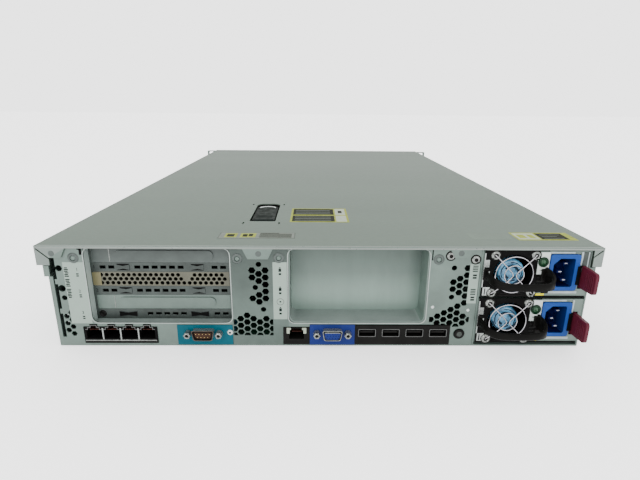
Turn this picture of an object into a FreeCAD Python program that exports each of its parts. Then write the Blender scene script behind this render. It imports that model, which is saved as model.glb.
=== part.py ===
"""Two-unit rack server, as a parametric assembly.

Frame: +Z up, +X to the right of somebody who faces the rear, +Y from the rear
towards the front.  The origin is the middle of the chassis underside.
Every length is in millimetres.
"""
import FreeCAD, Part
import math
import os

import Sketcher

DRIVING = {
    # the whole machine
    "depth": 699.8, "height_all": 87.3, "ear_reach": 18.6, "cover_width": 445.4,
    "body_inset": 6.8, "step_inset": 3.5, "step_level": 61.3, "wall": 1.2, "sheet": 1.0,
    "clearance": 0.3, "panel_inset": 1.5, "lip_width": 8.0,
    # the sliding cover, its latch and the fixed roof in front of it
    "roof_length": 85.1, "cover_drop": 16.0, "rear_bend": 2.0,
    "mitre": 10.4, "mitre_bay": 7.8, "tab_drop": 10.4, "tab_slant": 4.5, "tab_width": 17.8,
    "recess_left": -67.0, "recess_right": -42.5, "recess_start": 77.0, "recess_end": 152.0,
    "cup_depth": 9.0, "latch_length": 58.0, "latch_thick": 3.6,
    "latch_play": 1.5, "latch_pin": 2.2, "slot_length": 6.0, "slot_width": 1.6,
    # the rear wall, from left to right
    "left_column": 28.2, "left_gap": 5.2, "left_foot": 8.0, "tooth_height": 4.2,
    "tooth_reach": 1.9, "side_return": 2.1, "column_vent_pitch": 6.3,
    "riser_opening": 113.6, "mid_column": 46.2, "blank_opening": 112.3, "sill": 21.0,
    "sill_radius": 6.0, "hex_size": 5.1, "hex_column": 5.24, "hex_row": 6.05,
    "small_hole": 2.2, "vent_size": 4.2,
    # expansion card cage
    "cage_inset": 8.5, "cage_length": 240.0, "slot_pitch": 20.3, "slot_height": 12.5,
    "first_slot": 29.6, "slot_margin": 2.0, "rib_height": 8.4, "rib_margin": 19.0, "rib_rise": 1.0,
    "pin_slot_width": 4.8, "pin_slot_height": 2.7, "pin_slot_pitch": 6.95, "bump_width": 10.0,
    "wide_bump": 14.4,
    "bump_height": 4.4, "bump_rise": 0.6, "gold_hole": 3.0, "gold_pitch": 4.43, "gold_row": 3.5,
    "board": 1.6, "blank_depth": 24.0,
    # connectors along the bottom
    "port_proud": 0.6, "port_depth": 20.0, "board_level": 4.2, "board_inset": 14.0,
    "network_from_wall": 19.8, "network_width": 60.2, "network_low": 2.6, "network_top": 17.5,
    "jack_pitch": 14.5, "jack_width": 12.4, "jack_height": 8.2, "jack_depth": 13.0,
    "jack_floor": 6.9, "key_width": 9.0, "key_height": 1.7, "clip_width": 4.4, "clip_height": 1.9,
    "jack_wall": 0.9,
    "serial_width": 45.6, "serial_top": 19.2, "serial_shell": 18.4, "shell_height": 8.2,
    "shell_reach": 5.6, "shell_wall": 0.6, "post_pitch": 25.6, "post_size": 5.0,
    "connector_level": 12.2, "management_width": 21.6, "management_top": 17.1,
    "management_floor": 6.6, "video_width": 37.2, "video_top": 19.5, "video_shell": 16.4,
    "usb_width": 79.0, "usb_top": 19.1, "usb_pitch": 19.7, "usb_shell_width": 14.6,
    "usb_shell_height": 7.0, "usb_tongue": 1.8, "usb_level": 12.2, "usb_margin": 2.7,
    "button_radius": 3.9, "button_level": 11.3,
    # power supplies
    "psu_width": 86.4, "psu_height": 39.4, "psu_length": 194.0, "psu_inset": 1.5,
    "psu_pitch": 41.3, "psu_floor": 3.6, "fan_across": 25.3, "fan_up": 19.7, "fan_bore": 17.4,
    "fan_frame": 1.2, "fan_depth": 28.0, "hub_radius": 11.0, "blade_tip": 15.4, "blade_depth": 12.0,
    "guard_outer": 15.2, "guard_inner": 7.8, "guard_wire": 0.8, "guard_gap": 1.4,
    "guard_screw": 32.0, "screw_radius": 3.5, "screw_height": 2.0,
    "inlet_across": 53.2, "inlet_up": 6.0, "inlet_width": 24.2, "inlet_height": 30.8,
    "inlet_depth": 21.0, "inlet_rim": 1.4, "inlet_mouth_width": 17.0, "inlet_mouth_height": 24.0,
    "inlet_mouth_depth": 16.0, "inlet_chamfer": 5.0, "blade_width": 4.0, "blade_thick": 2.0,
    "blade_pitch": 14.0, "earth_offset": 4.0, "handle_across": 27.0, "handle_span": 50.8,
    "handle_reach": 25.0, "handle_height": 8.0, "handle_thick": 2.6, "handle_radius": 12.0,
    "latch_across": 79.8, "latch_up": 8.1, "tab_height": 19.0, "tab_thick": 2.6, "tab_reach": 20.0,
    "latch_root": 7.0, "latch_slot": 5.0,
    # inside
    "board_length": 400.0, "standoff_radius": 3.0, "standoff_first": 40.0,
    "standoff_pitch": 170.0, "riser_start": 40.0, "riser_length": 180.0, "riser_gap": 6.0,
    "card_start": 60.0, "card_socket_length": 89.0, "card_socket_depth": 11.0,
    "card_socket_height": 7.5, "card_slot_length": 140.0, "card_slot_width": 7.0,
    "first_socket": 0.249, "second_socket": 0.733, "memory_start": 40.0, "memory_ends": 4.0,
    "socket_size": 56.0, "socket_height": 6.0,
    "socket_from_rear": 255.0, "sink_width": 90.0, "sink_length": 90.0, "sink_height": 54.0,
    "sink_base": 6.0, "fin_thick": 0.6, "fin_count": 15.0, "memory_length": 133.4,
    "memory_height": 30.0, "memory_thick": 3.8, "memory_slot": 6.0, "memory_pitch": 9.6,
    "fan_tray_at": 430.0, "fan_gap": 4.0, "fan_side": 16.7, "fan_module_depth": 38.0,
    "fan_module_height": 72.0, "big_bore": 28.5, "big_tip": 27.0, "big_hub": 12.0,
    "big_blade": 16.0, "divider": 1.0,
    # drives and front
    "front_thick": 9.0, "vent_pitch": 12.5, "vent_width": 7.0, "vent_start": 14.0, "vent_low": 10.0,
    "vent_bar": 5.0, "media_from_top": 22.0, "media_width": 132.0, "media_height": 14.0,
    "media_depth": 5.0, "bay_pitch": 17.8, "bay_depth": 130.0, "bay_low": 4.0,
    "bay_headroom": 6.0, "bay_from_wall": 10.0, "carrier_width": 15.8, "carrier_length": 110.0,
    "carrier_height": 74.0,
    "recess_low": 6.0, "recess_bar": 4.5, "face_thick": 8.0, "lever_width": 9.0,
    "lever_length": 52.0, "lever_thick": 3.0,
    "power_radius": 3.0, "power_level": 70.0, "ear_thick": 2.4, "ear_slot_pitch": 76.2,
    "ear_hole_inset": 8.75, "ear_slot_length": 10.3, "ear_slot_height": 6.8,
    "ear_lever_height": 40.0, "ear_lever_width": 19.0, "ear_lever_knuckle": 1.9,
    "finger_hollow": 2.0,
    "stud_radius": 2.4, "stud_head": 4.2, "stud_reach": 2.2, "stud_head_thick": 1.0,
    "stud_level": 40.0, "stud_first": 90.0, "stud_pitch": 240.0,
}
NETWORK_JACKS = 4
USB_SOCKETS = 4
BAYS = 8
DRIVES = 2
FANS = 4
FAN_PLACES = 6
STUDS = 3
GOLD_HOLES = 23
VENT_COLUMNS = 20
RECESSES = 6
VECTOR = FreeCAD.Vector
ALONG_Y = FreeCAD.Rotation(VECTOR(1, 0, 0), -90)
ALONG_X = FreeCAD.Rotation(VECTOR(0, 1, 0), 90)
UPRIGHT = FreeCAD.Rotation()


class Size:
    """A length that carries its value and the sheet formula that gives it."""

    def __init__(self, value, formula):
        self.value = float(value)
        self.formula = formula

    def __float__(self):
        return self.value

    def __add__(self, other):
        other = sized(other)
        return Size(self.value + other.value, f"({self.formula} + {other.formula})")

    def __radd__(self, other):
        return sized(other) + self

    def __sub__(self, other):
        other = sized(other)
        return Size(self.value - other.value, f"({self.formula} - {other.formula})")

    def __rsub__(self, other):
        return sized(other) - self

    def __mul__(self, factor):
        factor = sized(factor)
        return Size(self.value * factor.value, f"({self.formula} * {factor.formula})")

    __rmul__ = __mul__

    def __truediv__(self, factor):
        factor = sized(factor)
        return Size(self.value / factor.value, f"({self.formula} / {factor.formula})")

    def __neg__(self):
        return self * -1


def sized(value):
    """The value as a Size; a plain number is its own formula."""
    if isinstance(value, Size):
        return value
    return Size(value, f"({float(value)!r})")


doc = FreeCAD.newDocument("RackServer")
sheet = doc.addObject("Spreadsheet::Sheet", "Sizes")


class Named:
    """The driving dimensions, by name."""


d = Named()
for row, (alias, number) in enumerate(DRIVING.items(), start=1):
    sheet.set(f"A{row}", alias)
    sheet.set(f"B{row}", str(number))
    sheet.setAlias(f"B{row}", alias)
    setattr(d, alias, Size(number, f"Sizes.{alias}"))
doc.recompute()

parts = {}


# ---------------------------------------------------------------- helpers

def bind(thing, prop, value):
    """Ties one property to its formula."""
    thing.setExpression(prop, sized(value).formula)


def place(thing, at, turn=UPRIGHT):
    """Puts a solid at a place that follows the sheet."""
    thing.Placement = FreeCAD.Placement(VECTOR(*(float(a) for a in at)), turn)
    for axis, value in zip("xyz", at):
        bind(thing, f"Placement.Base.{axis}", value)
    return thing


def block(name, x, y, z):
    """A box between two values on each axis."""
    box = doc.addObject("Part::Box", name)
    for side, (low, high) in zip(("Length", "Width", "Height"), (x, y, z)):
        bind(box, side, high - low if isinstance(high, Size) else sized(high) - low)
    return place(box, (x[0], y[0], z[0]))


def rod(name, at, radius, length, turn=ALONG_Y):
    """A cylinder that starts at a place."""
    tool = doc.addObject("Part::Cylinder", name)
    bind(tool, "Radius", radius)
    bind(tool, "Height", length)
    return place(tool, at, turn)


def six_sided(name, at, across, length, turn=ALONG_Y):
    """A six-sided prism with two flat sides level, by its size across the flats."""
    tool = doc.addObject("Part::Prism", name)
    tool.Polygon = 6
    bind(tool, "Circumradius", across / math.sqrt(3))
    bind(tool, "Height", length)
    return place(tool, at, turn)


def group(name, shapes):
    """Separate solids that share a node."""
    made = doc.addObject("Part::Compound", name)
    made.Links = shapes
    return made


def join(name, *shapes):
    """One solid from solids that meet."""
    made = doc.addObject("Part::MultiFuse", name)
    made.Shapes = list(shapes)
    made.Refine = True
    return made


def cut(name, base, *tools):
    """The base without the tools."""
    made = doc.addObject("Part::Cut", name)
    made.Base = base
    made.Tool = tools[0] if len(tools) == 1 else group(f"{name}_tools", list(tools))
    made.Refine = True
    return made


def node(name, shape):
    """Declares a finished sub-part under the name of its file."""
    shape.Label = name
    parts[name] = shape
    return shape


def circle(x, z, radius):
    """A round loop for a sketch."""
    return ("circle", sized(x), sized(z), sized(radius))


def rectangle(x, z, radius=None):
    """A four-cornered loop between two values each way, with round corners if a radius is given."""
    corners = [(x[0], z[0]), (x[1], z[0]), (x[1], z[1]), (x[0], z[1])]
    return [corner + (radius,) for corner in corners] if radius is not None else corners


def fix_point(sketch, index, point, x, z):
    """Holds a point of a sketch at a distance from its origin, by formula."""
    for kind, value in (("DistanceX", x), ("DistanceY", z)):
        rule = sketch.addConstraint(Sketcher.Constraint(kind, -1, 1, index, point, float(value)))
        bind(sketch, f"Constraints[{rule}]", value)


def draw_circle(sketch, loop):
    """Adds a circle with its centre and radius held."""
    _, x, z, radius = loop
    round_edge = Part.Circle(VECTOR(float(x), float(z), 0), VECTOR(0, 0, 1), float(radius))
    index = sketch.addGeometry(round_edge, False)
    fix_point(sketch, index, 3, x, z)
    rule = sketch.addConstraint(Sketcher.Constraint("Radius", index, float(radius)))
    bind(sketch, f"Constraints[{rule}]", radius)


def tangent_points(before, corner, after, radius):
    """Where a rounded corner leaves its two sides, and the middle of its arc."""
    here = VECTOR(float(corner[0]), float(corner[1]), 0)
    to_before = (VECTOR(float(before[0]), float(before[1]), 0) - here).normalize()
    to_after = (VECTOR(float(after[0]), float(after[1]), 0) - here).normalize()
    half = to_before.getAngle(to_after) / 2
    back = radius / math.tan(half)
    start = (corner[0] + back * to_before.x, corner[1] + back * to_before.y)
    end = (corner[0] + back * to_after.x, corner[1] + back * to_after.y)
    inward = (to_before + to_after).normalize()
    middle = here + inward * (float(radius) / math.sin(half) - float(radius))
    return start, end, middle


def draw_outline(sketch, corners):
    """Adds a closed outline; a corner with a third value is rounded to that radius."""
    flat = [tuple(sized(value) for value in corner[:2]) for corner in corners]
    stops = []
    for k, corner in enumerate(corners):
        if len(corner) == 3:
            after = flat[(k + 1) % len(flat)]
            stops.append(tangent_points(flat[k - 1], flat[k], after, sized(corner[2])))
        else:
            stops.append((flat[k], flat[k], None))
    chain = []
    for k, (start, end, middle) in enumerate(stops):
        if middle is not None:
            ends = [VECTOR(float(p[0]), float(p[1]), 0) for p in (start, end)]
            arc = sketch.addGeometry(Part.Arc(ends[0], middle, ends[1]), False)
            to_first, to_last = ((sketch.getPoint(arc, end_of) - ends[0]).Length for end_of in (1, 2))
            forwards = to_first < to_last
            radius = sized(corners[k][2])
            rule = sketch.addConstraint(Sketcher.Constraint("Radius", arc, float(radius)))
            bind(sketch, f"Constraints[{rule}]", radius)
            chain.append((arc, 1, 2) if forwards else (arc, 2, 1))
        reach = stops[(k + 1) % len(stops)][0]
        ends = [VECTOR(float(p[0]), float(p[1]), 0) for p in (end, reach)]
        side = sketch.addGeometry(Part.LineSegment(*ends), False)
        fix_point(sketch, side, 1, *end)
        if stops[(k + 1) % len(stops)][2] is not None:
            fix_point(sketch, side, 2, *reach)
        chain.append((side, 1, 2))
    for (this, _, tail), (following, head, _) in zip(chain, chain[1:] + chain[:1]):
        sketch.addConstraint(Sketcher.Constraint("Coincident", this, tail, following, head))


# each plane of a body: its role, and which way its normal runs along the axis it faces
PLANES = {"x": ("YZ_Plane", 1), "y": ("XZ_Plane", -1), "z": ("XY_Plane", 1)}


def sketch_on(body, facing, start, loops):
    """A sketch of closed loops on the plane that faces an axis, at a distance along it."""
    role, sense = PLANES[facing]
    sketch = body.newObject("Sketcher::SketchObject", f"{body.Name}_profile")
    plane = next(item for item in body.Origin.OriginFeatures if item.Role == role)
    sketch.AttachmentSupport = [(plane, "")]
    sketch.MapMode = "FlatFace"
    bind(sketch, "AttachmentOffset.Base.z", sized(start) * sense)
    for loop in loops:
        if loop[0] == "circle":
            draw_circle(sketch, loop)
        else:
            draw_outline(sketch, loop)
    return sketch


def pad(body, facing, start, length, *loops):
    """Adds loops, pushed out along the axis, to a PartDesign body."""
    feature = body.newObject("PartDesign::Pad", f"{body.Name}_pad")
    feature.Profile = sketch_on(body, facing, start, loops)
    feature.Reversed = PLANES[facing][1] < 0
    bind(feature, "Length", length)
    return feature


def pocket(body, facing, start, length, *loops):
    """Takes loops, pushed in along the axis, out of a PartDesign body."""
    feature = body.newObject("PartDesign::Pocket", f"{body.Name}_pocket")
    feature.Profile = sketch_on(body, facing, start, loops)
    feature.Reversed = PLANES[facing][1] > 0
    bind(feature, "Length", length)
    return feature


def padded(name, facing, start, length, *loops):
    """A PartDesign body with one pad; inner loops are holes through it."""
    body = doc.addObject("PartDesign::Body", name)
    pad(body, facing, start, length, *loops)
    return body


# ---------------------------------------------------------------- shared places

rear = d.depth * -0.5
front = d.depth * 0.5
half_cover = d.cover_width / 2
half_body = half_cover - d.body_inset
half_step = half_cover - d.step_inset
inner = half_body - d.wall
panel = rear + d.panel_inset
panel_back = panel + d.wall
wall_top = d.height_all - d.sheet - d.clearance
left_edge = d.left_gap - inner
riser_left = d.left_column - inner
riser_right = riser_left + d.riser_opening
mid_right = riser_right + d.mid_column
blank_right = mid_right + d.blank_opening
psu_right = inner - d.clearance
psu_left = psu_right - d.psu_width
bay_wall = psu_left - d.clearance - d.wall
port_front = panel - d.port_proud
front_back = front - d.front_thick
cover_end = front - d.roof_length - d.clearance
roof_start = front - d.roof_length
rack_edge = half_cover + d.ear_reach
management_left = mid_right - 4.5
video_left = management_left + d.management_width + 0.2
usb_left = video_left + d.video_width + 0.2
usb_right = usb_left + d.usb_width


def chassis_base():
    """The tray: one folded sheet with stepped side walls and top lips."""
    outer = [(half_body, 0), (half_body, d.step_level), (half_step, d.step_level),
             (half_step, wall_top), (half_step - d.lip_width, wall_top),
             (half_step - d.lip_width, wall_top - d.wall), (half_step - d.wall, wall_top - d.wall),
             (half_step - d.wall, d.step_level + d.wall), (inner, d.step_level + d.wall),
             (inner, d.wall)]
    mirrored = [(-sized(x), z) for x, z in reversed(outer)]
    tray = padded("Tray", "y", panel, front_back - panel, outer + mirrored)
    returns = []
    for side in (-1, 1):
        ends = sorted((half_step * side, inner * side), key=float)
        returns.append(block("Step_return", ends, (panel, panel_back),
                             (d.step_level, wall_top - d.cover_drop + d.clearance)))
    returns.append(block("Side_return", (-inner - 0.2, d.side_return - inner), (panel, panel_back),
                         (d.wall, d.step_level)))
    posts = [rod("Standoff", (x, rear + d.standoff_first + d.standoff_pitch * k, d.wall),
                 d.standoff_radius, d.board_level - d.wall, UPRIGHT)
             for x in (riser_left - 10, mid_right, bay_wall - 14) for k in range(3)]
    node("chassis_base", join("Chassis", tray, *returns, *posts))


def honeycomb(name, left, low, rows_of_column, across, upward):
    """Six-sided holes through the rear wall; each second column is half a row higher."""
    holes = []
    for column, rows in rows_of_column.items():
        for row in rows:
            z = low + d.hex_row * (row + 0.5 * (column % 2))
            at = (left + d.hex_column * column, panel - 1, z)
            holes.append(six_sided(f"{name}_hole", at, d.hex_size, d.wall + 2))
    clipped = doc.addObject("Part::MultiCommon", f"{name}_holes")
    area = block(f"{name}_area", across, (panel - 2, panel_back + 2), upward)
    clipped.Shapes = [group(f"{name}_field", holes), area]
    return clipped


def rear_panel():
    """The left column of the rear wall and the strip under the card cage."""
    network_left = -inner + d.network_from_wall
    tooth = left_edge - d.tooth_reach
    teeth = []
    for low in (d.sill + 33.8, d.sill + 8.1):
        teeth += [(left_edge, low + d.tooth_height), (tooth, low + d.tooth_height), (tooth, low),
                  (left_edge, low)]
    foot = d.side_return - inner
    left_side = [(left_edge, wall_top)] + teeth + [(left_edge, d.left_foot), (foot, d.left_foot)]
    outline = left_side + [
        (foot, d.wall), (network_left, d.wall), (riser_right - d.serial_width, d.wall),
        (riser_right - d.serial_width, d.serial_top), (riser_right, d.serial_top),
        (riser_right, d.sill + d.sill_radius), (riser_right - 0.6, d.sill, d.sill_radius - 0.8),
        (riser_left, d.sill, d.sill_radius), (riser_left, wall_top)]
    network_right = network_left + d.network_width
    window = [(network_left, d.network_low), (network_right, d.network_low), (network_right, d.network_top)]
    half = d.clip_width / 2 + d.jack_wall + 0.1
    for k in reversed(range(NETWORK_JACKS)):
        middle = jack_left(k) + d.jack_width / 2
        window += [(middle + half, d.network_top), (middle + half, clip_top + 0.1),
                   (middle - half, clip_top + 0.1), (middle - half, d.network_top)]
    window.append((network_left, d.network_top))
    wall = padded("Rear_panel", "y", panel, d.wall, outline, window)
    round_holes = [rod("Round", (left_edge + x, panel - 1, d.sill + z), r, d.wall + 2)
                   for x, z, r in ((2.5, 47.3, 2.6), (2.6, 30.2, 2.9), (3.4, 22.0, 2.2), (8.2, 15.0, 2.6))]
    vents = [six_sided("Vent", (left_edge + 6.6 - 4.0 * side, panel - 1,
                                d.left_foot + 3.0 + d.column_vent_pitch * (k + side / 2)),
                       d.vent_size, d.wall + 2) for side in (0, 1) for k in range(4 - side)]
    node("rear_panel", cut("Rear_panel_cut", wall, *round_holes, *vents))


def vent_column_mid():
    """The honeycomb column between the two card bays."""
    outline = [(riser_right, d.wall), (management_left - 0.2, d.wall),
               (management_left - 0.2, d.management_top + 0.2), (mid_right, d.management_top + 0.2),
               (mid_right, wall_top), (riser_right, wall_top)]
    wall = padded("Mid_column", "y", panel, d.wall, outline)
    rows = {-1: (-1, 0, 1), 0: (0, 1, 2), 1: (-1, 0, 1, 2), 2: (0, 1, 2, 5, 8, 9),
            3: (-1, 0, 1, 4, 5, 7, 8), 4: (0, 1, 2, 5, 6, 7, 8, 9), 5: (-1, 0, 1)}
    field = honeycomb("Mid", riser_right + 6.9, d.sill - 8.4, rows,
                      (riser_right + 0.9, riser_right + 33.5), (d.sill - 11.5, wall_top - 2))
    rounds = [rod("Round", (riser_right + x, panel - 1, d.sill + z), d.small_hole, d.wall + 2)
              for x, z in ((22.8, 51.1), (19.7, 31.4), (25.8, 12.1))]
    node("vent_column_mid", cut("Mid_column_cut", wall, field, *rounds))


def vent_column_right():
    """The honeycomb column beside the power supplies, and the rail over the connectors."""
    edge = bay_wall - d.clearance
    outline = [(usb_right + 0.2, d.wall), (edge, d.wall), (edge, wall_top), (blank_right, wall_top),
               (blank_right, d.sill, d.sill_radius), (mid_right, d.sill),
               (mid_right, d.management_top + 0.4),
               (video_left - 0.1, d.management_top + 0.4), (video_left - 0.1, d.video_top + 0.2),
               (usb_right + 0.2, d.video_top + 0.2)]
    eye = circle(blank_right + 29.2, d.button_level, d.button_radius + d.clearance)
    wall = padded("Right_column", "y", panel, d.wall, outline, eye)
    rows = {0: (1,), 1: (0, 1), 2: (0, 1, 2), 3: (0, 1, 2, 5, 6), 4: (0, 1, 2, 3, 5, 6, 7),
            5: (0, 1, 3, 4, 5, 6, 7, 8), 6: (1,)}
    low = d.sill - 2.85
    field = honeycomb("Right", blank_right + 4.6, low, rows,
                      (blank_right + 3.2, blank_right + 36.2), (low - 0.6, wall_top - 2))
    rounds = [rod("Round", (blank_right + 20.0, panel - 1, d.sill + z), d.small_hole, d.wall + 2)
              for z in (48.6, 23.4)]
    node("vent_column_right", cut("Right_column_cut", wall, field, *rounds))


# ---------------------------------------------------------------- card cage and blank

def slot_low(index):
    """Lower edge of a card slot, counted from the bottom."""
    return d.first_slot + d.slot_pitch * index


def strip_slots(level, groups):
    """A row of narrow slots in a strip of the cage, in groups of a first place and a count."""
    slots = []
    half = d.pin_slot_width / 2
    for first, count in groups:
        for k in range(count):
            x = riser_left + first + d.pin_slot_pitch * k
            slots.append(block("Pin_slot", (x - half, x + half), (cage_face - 1, cage_face + d.sheet + 1),
                               (level - d.pin_slot_height / 2, level + d.pin_slot_height / 2)))
    return slots


def bow_tie(name, x, level, width):
    """A raised bump, narrow in its middle."""
    half = width / 2
    tall = d.bump_height / 2
    outline = [(x - half, level - tall), (x, level - tall / 2), (x + half, level - tall),
               (x + half, level + tall), (x, level + tall / 2), (x - half, level + tall)]
    return padded(name, "y", cage_face - d.bump_rise, d.bump_rise, outline)


cage_face = panel + d.cage_inset
cage_low = d.sill - 0.4
slot_left = riser_left + d.slot_margin
slot_right = riser_right - d.slot_margin


def riser_cage():
    """The card cage: a face with three card windows, two side walls and a top flange."""
    windows = [rectangle((slot_left, slot_right), (slot_low(k), slot_low(k) + d.slot_height))
               for k in range(3)]
    outside = rectangle((riser_left - 1, riser_right + 1), (cage_low - d.sheet, wall_top - 1))
    face = padded("Cage_face", "y", cage_face, d.sheet, outside, *windows)
    back = cage_face + d.cage_length
    walls = [block("Cage_side", x, (panel_back, back), (cage_low, wall_top - 1))
             for x in ((riser_left - 1, riser_left), (riser_right, riser_right + 1))]
    flange = block("Cage_top", (riser_left - 1, riser_right + 1), (cage_face, cage_face + 14),
                   (wall_top - 1 - d.sheet, wall_top - 1))
    ledge = block("Cage_ledge", (riser_left - 1, riser_right + 1), (panel_back, cage_face),
                  (cage_low - d.sheet, cage_low))
    levels = [slot_low(k) + d.slot_height + (d.slot_pitch - d.slot_height) / 2 for k in (0, 1)]
    lowest = d.first_slot - 4.6
    bumps = [bow_tie("Bump", riser_left + x, level, d.bump_width) for level in levels for x in (26.4, 86.0)]
    bumps += [bow_tie("Wide_bump", riser_left + x, lowest, d.wide_bump) for x in (26.2, 85.6)]
    solid = join("Cage_solid", face, *walls, flange, ledge, *bumps)
    slots = [slot for level in levels for slot in strip_slots(level, ((9.9, 2), (37.7, 6), (99.8, 2)))]
    slots += strip_slots(lowest, ((44.2, 5), (99.8, 2)))
    node("riser_cage", cut("Riser_cage", solid, *slots))


def slot_plate(name, index):
    """The flat plate that closes a card window, with its step at the screw end."""
    gap = 0.15
    low = slot_low(index)
    plate = block(f"{name}_plate", (slot_left + gap, slot_right - gap), (cage_face, cage_face + d.sheet),
                  (low + gap, low + d.slot_height - gap))
    tail = block(f"{name}_tail", (slot_left - 1.6, slot_right + 1.6),
                 (cage_face + d.sheet, cage_face + 2 * d.sheet), (low + 2, low + d.slot_height - 2))
    return plate, tail


def solid_cover(name, index):
    """A card cover with a long raised rib that has round ends."""
    plate, tail = slot_plate(name, index)
    middle = slot_low(index) + d.slot_height / 2
    half = d.rib_height / 2
    rib = padded(f"{name}_rib", "y", cage_face - d.rib_rise, d.rib_rise,
                 rectangle((slot_left + d.rib_margin, slot_right - d.rib_margin * 0.65),
                           (middle - half, middle + half), half - 0.2))
    node(name, join(f"{name}_solid", plate, tail, rib))


def perforated_cover():
    """The middle card cover: three staggered rows of air holes."""
    plate, tail = slot_plate("Perforated", 1)
    middle = slot_low(1) + d.slot_height / 2
    holes = []
    closed = {(1, 15), (1, 16), (0, 15)}
    for row in (-1, 0, 1):
        for k in range(GOLD_HOLES):
            if (row, k) in closed:
                continue
            x = slot_left + 5.9 + d.gold_pitch * (k + (0.5 if row == 0 else 0))
            at = (x, cage_face - 1, middle + d.gold_row * row)
            holes.append(six_sided("Air_hole", at, d.gold_hole, 2 * d.sheet + 2))
    node("slot_cover_perforated", cut("Perforated_cover", join("Perforated_blank", plate, tail), *holes))


def riser_board():
    """The upright board that the cards plug into, with its three card connectors."""
    x = riser_right - d.riser_gap
    low = d.board_level + d.board + d.socket_height
    start = cage_face + d.riser_start
    board = block("Riser_pcb", (x, x + d.board), (start, start + d.riser_length), (low, wall_top - 6))
    first = cage_face + d.card_start
    slots = [block("Card_socket", (x - d.card_socket_depth, x), (first, first + d.card_socket_length),
                   (slot_low(k) + 1, slot_low(k) + 1 + d.card_socket_height)) for k in range(3)]
    node("riser_board", join("Riser_board", board, *slots))


def riser_blank():
    """The deep pressed pan that closes the second card bay."""
    left = mid_right + 0.2
    right = blank_right - 0.2
    low = d.sill + 0.2
    top = wall_top
    back = panel + d.blank_depth
    shell = padded("Blank_pan", "y", panel, back - panel,
                   [(left, low, d.sill_radius), (right, low, d.sill_radius), (right, top), (left, top)])
    hollow = [(left + 1, low + 1, d.sill_radius - 1), (right - 1, low + 1, d.sill_radius - 1),
              (right - 1, top - 1), (left + 1, top - 1)]
    pocket(shell, "y", panel, back - panel - d.sheet, hollow)
    node("riser_blank", shell)


# ---------------------------------------------------------------- connectors

def port_body(name, x, z):
    """A connector housing that stands on the system board and pokes through the wall."""
    deep = block(f"{name}_front", x, (port_front, rear + d.board_inset), z)
    seat = block(f"{name}_seat", x, (rear + d.board_inset, port_front + d.port_depth),
                 (d.board_level + d.board, z[1]))
    return join(f"{name}_body", deep, seat)


def jack_left(index):
    """Left edge of a network jack's mouth."""
    margin = (d.network_width - d.jack_pitch * (NETWORK_JACKS - 1) - d.jack_width) / 2
    return d.network_from_wall - inner + margin + d.jack_pitch * index


clip_top = d.jack_floor + d.jack_height + d.key_height + d.clip_height + d.jack_wall - 0.1


def jack_hole(name, left, floor):
    """The mouth of a modular jack, with the notch for the plug's key above it."""
    middle = left + d.jack_width / 2
    half = d.key_width / 2
    depth = (port_front - 1, port_front + d.jack_depth)
    mouth = block(f"{name}_mouth", (left, left + d.jack_width), depth, (floor, floor + d.jack_height))
    key = block(f"{name}_key", (middle - half, middle + half), depth,
                (floor + d.jack_height - 0.1, floor + d.jack_height + d.key_height))
    return [mouth, key]


def network_ports():
    """Four shielded network jacks in one housing, each with a raised roof over its clip notch."""
    left = -inner + d.network_from_wall + 0.1
    right = left + d.network_width - 0.2
    top = d.network_top - 0.1
    body = port_body("Network", (left, right), (d.network_low + 0.1, top))
    half = d.clip_width / 2 + d.jack_wall
    roofs = []
    holes = []
    for k in range(NETWORK_JACKS):
        middle = jack_left(k) + d.jack_width / 2
        roofs.append(block("Clip_roof", (middle - half, middle + half),
                           (port_front, port_front + d.port_depth), (top - 0.5, clip_top)))
        holes += jack_hole(f"Jack_{k}", jack_left(k), d.jack_floor)
        holes.append(block("Clip_notch", (middle - d.clip_width / 2, middle + d.clip_width / 2),
                           (port_front - 1, port_front + d.jack_depth),
                           (clip_top - d.jack_wall - d.clip_height, clip_top - d.jack_wall)))
    node("network_ports", cut("Network_ports", join("Network_solid", body, *roofs), *holes))


def d_outline(x, z, width, height):
    """The leaning outline of a D connector, with round corners."""
    half = width / 2
    up = height / 2
    lean = 1.6
    return [(x - half, z + up, 1.8), (x - half + lean, z - up, 1.8), (x + half - lean, z - up, 1.8),
            (x + half, z + up, 1.8)]


def d_connector(name, x, width, top, pins, filled, centre):
    """A D connector: its coloured block, steel shell, pins and two threaded posts."""
    body = port_body(name, x, (d.wall + 0.1, top))
    level = d.connector_level
    start = port_front - d.shell_reach
    shell = padded(f"{name}_shell", "y", start, d.shell_reach + 1,
                   d_outline(centre, level, width, d.shell_height))
    if not filled:
        pocket(shell, "y", start, d.shell_reach,
               d_outline(centre, level, width - 2 * d.shell_wall, d.shell_height - 2 * d.shell_wall))
    posts = [six_sided(f"{name}_post", (centre + side * d.post_pitch / 2, start, level), d.post_size,
                       d.shell_reach + 1) for side in (-1, 1)]
    return join(f"{name}_solid", body, shell, *posts, *pins)


def serial_port():
    """The nine-pin serial connector in its coloured block."""
    right = riser_right - 0.1
    left = right - d.serial_width + 0.2
    centre = right - 23.6
    pitch = 2.77
    pins = [rod("Pin", (centre + pitch * (k - (count - 1) / 2), port_front - d.shell_reach + 1.2,
                        d.connector_level + up), 0.5, d.shell_reach)
            for count, up in ((5, 1.42), (4, -1.42)) for k in range(count)]
    node("serial_port", d_connector("Serial", (left, right), d.serial_shell, d.serial_top - 0.1, pins,
                                    False, centre))


def video_port():
    """The fifteen-hole video connector in its coloured block."""
    right = video_left + d.video_width
    node("video_port", d_connector("Video", (video_left, right), d.video_shell, d.video_top, [], True,
                                   video_left + d.video_width / 2))


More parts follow.
